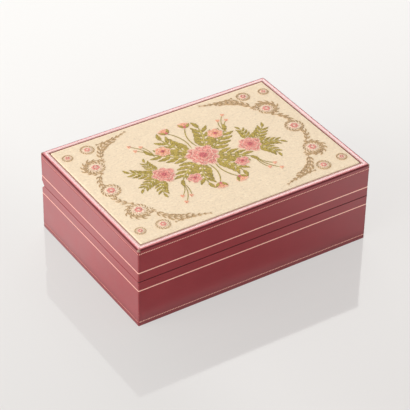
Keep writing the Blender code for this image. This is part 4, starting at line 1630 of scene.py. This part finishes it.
class WATCHBOX_OT_linings(bpy.types.Operator):
    """Covers the lining cards, the tray's rests, the floor pad and the sole."""

    bl_idname = "watchbox.linings"
    bl_label = "Linings"

    def execute(self, context):
        settings = context.scene.watch_box.interior
        suede = nap_material("cream_suede", settings.suede, 0.18 * MM, 0.05 * MM, 0.25)
        felt = nap_material("green_felt", settings.felt, 0.35 * MM, 0.12 * MM, 0.2)
        velvet = velvet_finish(settings)
        cards = [
            (f"{half}_{side}_suede", f"{half}_{side}_lining", half)
            for half in ("base", "lid")
            for side in ("front", "back", "left", "right")
        ]
        cards += [(f"{hand}_rest_suede", f"{hand}_tray_rest", "base") for hand in ("left", "right")]
        for name, node, body in cards:
            cover_card(name, node, settings.card_round, suede, body, "cream_suede")
        pad = cover_card("floor_velvet", "base_floor_pad", FLOOR_PAD_ROUND, velvet, "base", "cream_velvet")
        cover_card("felt_sole", "underside_felt", SOLE_ROUND, felt, "base", "green_felt")
        return {"FINISHED"}


class WATCHBOX_OT_satin(bpy.types.Operator):
    """Pads the satin panel under the lid's top."""

    bl_idname = "watchbox.satin"
    bl_label = "Satin panel"

    def execute(self, context):
        settings = context.scene.watch_box.interior
        low, high = satin_box
        crown = (high.z - low.z) / 2
        panel = padded_sheet(
            "lid_satin", low, high, -1, crown, crown, *SATIN_GRID, SATIN_ROUND, settings.satin_gather
        )
        dress(panel, satin_finish(settings))
        keep(panel, "lid", "ivory_satin", "lid_satin_panel")
        return {"FINISHED"}


class WATCHBOX_OT_tray(bpy.types.Operator):
    """Covers the lift-out tray in velvet and bends its ribbon loop."""

    bl_idname = "watchbox.tray"
    bl_label = "Tray"

    def execute(self, context):
        settings = context.scene.watch_box.interior
        low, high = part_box("insert_tray")
        board = add_block("velvet_tray", low, high)
        x = cushion_box[1].x + WINDOW_GAP
        y = cushion_box[1].y + WINDOW_GAP
        window = add_block("window", (-x, -y, low.z - 2 * MM), (x, y, high.z + 2 * MM))
        with editing(window):
            pick("edges", lambda edge: abs(edge.verts[0].co.z - edge.verts[1].co.z) > MM)
            bpy.ops.mesh.bevel(offset=settings.window_round, segments=6, affect="EDGES")
        cut_out(board, window)
        clean(board)
        soften(board, settings.tray_round, 50)
        smooth(board, 40)
        dress(board, velvet_finish(settings))
        keep(board, "tray", "cream_velvet", "insert_tray")
        keep(bend_ribbon(settings), "tray", "ivory_satin", "ribbon_tab")
        return {"FINISHED"}


class WATCHBOX_OT_cushion(bpy.types.Operator):
    """Sews and stuffs the velvet cushion that the watch goes round, with piping in its two seams."""

    bl_idname = "watchbox.cushion"
    bl_label = "Cushion"

    def execute(self, context):
        settings = context.scene.watch_box.interior
        low, high = cushion_box
        half = (high - low) / 2
        deselect()
        bpy.ops.mesh.primitive_uv_sphere_add(
            segments=CUSHION_SEGMENTS,
            ring_count=CUSHION_RINGS,
            radius=1,
            rotation=(0, math.radians(90), 0),
        )
        pillow = new_piece("velvet_cushion")
        seam = half.x - settings.cushion_end
        sewn = []
        for vertex in pillow.data.vertices:
            vertex.co = roll_point(vertex.co, half, seam)
            if abs(abs(vertex.co.x) - seam) < SEWN_REACH:
                sewn.append(vertex.index)
        swell(pillow, CUSHION_PRESSURE, settings.cushion_swell, sewn)
        apply_modifier(pillow, "SUBSURF", levels=1, render_levels=1)
        fit(pillow, low, high)
        smooth(pillow, 60, weighted=False)
        dress(pillow, velvet_finish(settings))
        keep(pillow, "cushion", "cream_velvet", "watch_cushion")
        for side, hand in ((-1, "left"), (1, "right")):
            cord = seam_cord(f"{hand}_piping", side * seam, half, (low + high) / 2, settings.piping)
            dress(cord, velvet_finish(settings))
            keep(cord, "cushion", "cream_velvet")
        return {"FINISHED"}


class WATCHBOX_OT_hardware(bpy.types.Operator):
    """Gives the hinges their brass and the carcass its wood and card."""

    bl_idname = "watchbox.hardware"
    bl_label = "Hinges and carcass"

    def execute(self, context):
        settings = context.scene.watch_box.hardware
        brass = brass_material("satin_brass", settings.brass)
        along_x = wood_material("wood_along_x", settings, (0.07, 1, 1))
        along_y = wood_material("wood_along_y", settings, (1, 0.07, 1))
        card = card_material("backing_card", settings.card)
        for name, node in frame["nodes"].items():
            if "hinge" in name:
                dress(node, brass)
            elif name == "brocade_card":
                dress(node, card)
            elif name.endswith(("left_wall", "right_wall")):
                dress(node, along_y)
            elif name.endswith(("_wall", "_board")):
                dress(node, along_x)
        return {"FINISHED"}


class WATCHBOX_PT_panel(bpy.types.Panel):
    """Lists the pieces and their settings."""

    bl_idname = "WATCHBOX_PT_panel"
    bl_label = "Leather Watch Box"
    bl_space_type = "VIEW_3D"
    bl_region_type = "UI"
    bl_category = "Watch Box"

    def draw(self, context):
        settings = context.scene.watch_box
        for group in ("leather", "brocade", "interior", "hardware", "stage"):
            box = self.layout.box()
            box.label(text=group.title())
            values = getattr(settings, group)
            for name in values.__annotations__:
                box.prop(values, name)
        for operator in OPERATORS:
            self.layout.operator(operator.bl_idname)


SETTINGS = (
    LeatherSettings, BrocadeSettings, InteriorSettings, HardwareSettings, StageSettings,
    WatchBoxSettings,
)
OPERATORS = (
    WATCHBOX_OT_stage, WATCHBOX_OT_base_leather, WATCHBOX_OT_lid_leather, WATCHBOX_OT_brocade,
    WATCHBOX_OT_linings, WATCHBOX_OT_satin, WATCHBOX_OT_tray, WATCHBOX_OT_cushion,
    WATCHBOX_OT_hardware,
)
CLASSES = (*SETTINGS, *OPERATORS, WATCHBOX_PT_panel)


def register():
    for made in CLASSES:
        bpy.utils.register_class(made)
    bpy.types.Scene.watch_box = PointerProperty(type=WatchBoxSettings)


def unregister():
    del bpy.types.Scene.watch_box
    for made in reversed(CLASSES):
        bpy.utils.unregister_class(made)


def main():
    register()
    bpy.ops.watchbox.stage()
    bpy.ops.watchbox.base_leather()
    bpy.ops.watchbox.lid_leather()
    bpy.ops.watchbox.brocade()
    bpy.ops.watchbox.linings()
    bpy.ops.watchbox.satin()
    bpy.ops.watchbox.tray()
    bpy.ops.watchbox.cushion()
    bpy.ops.watchbox.hardware()


if __name__ == "__main__":
    main()
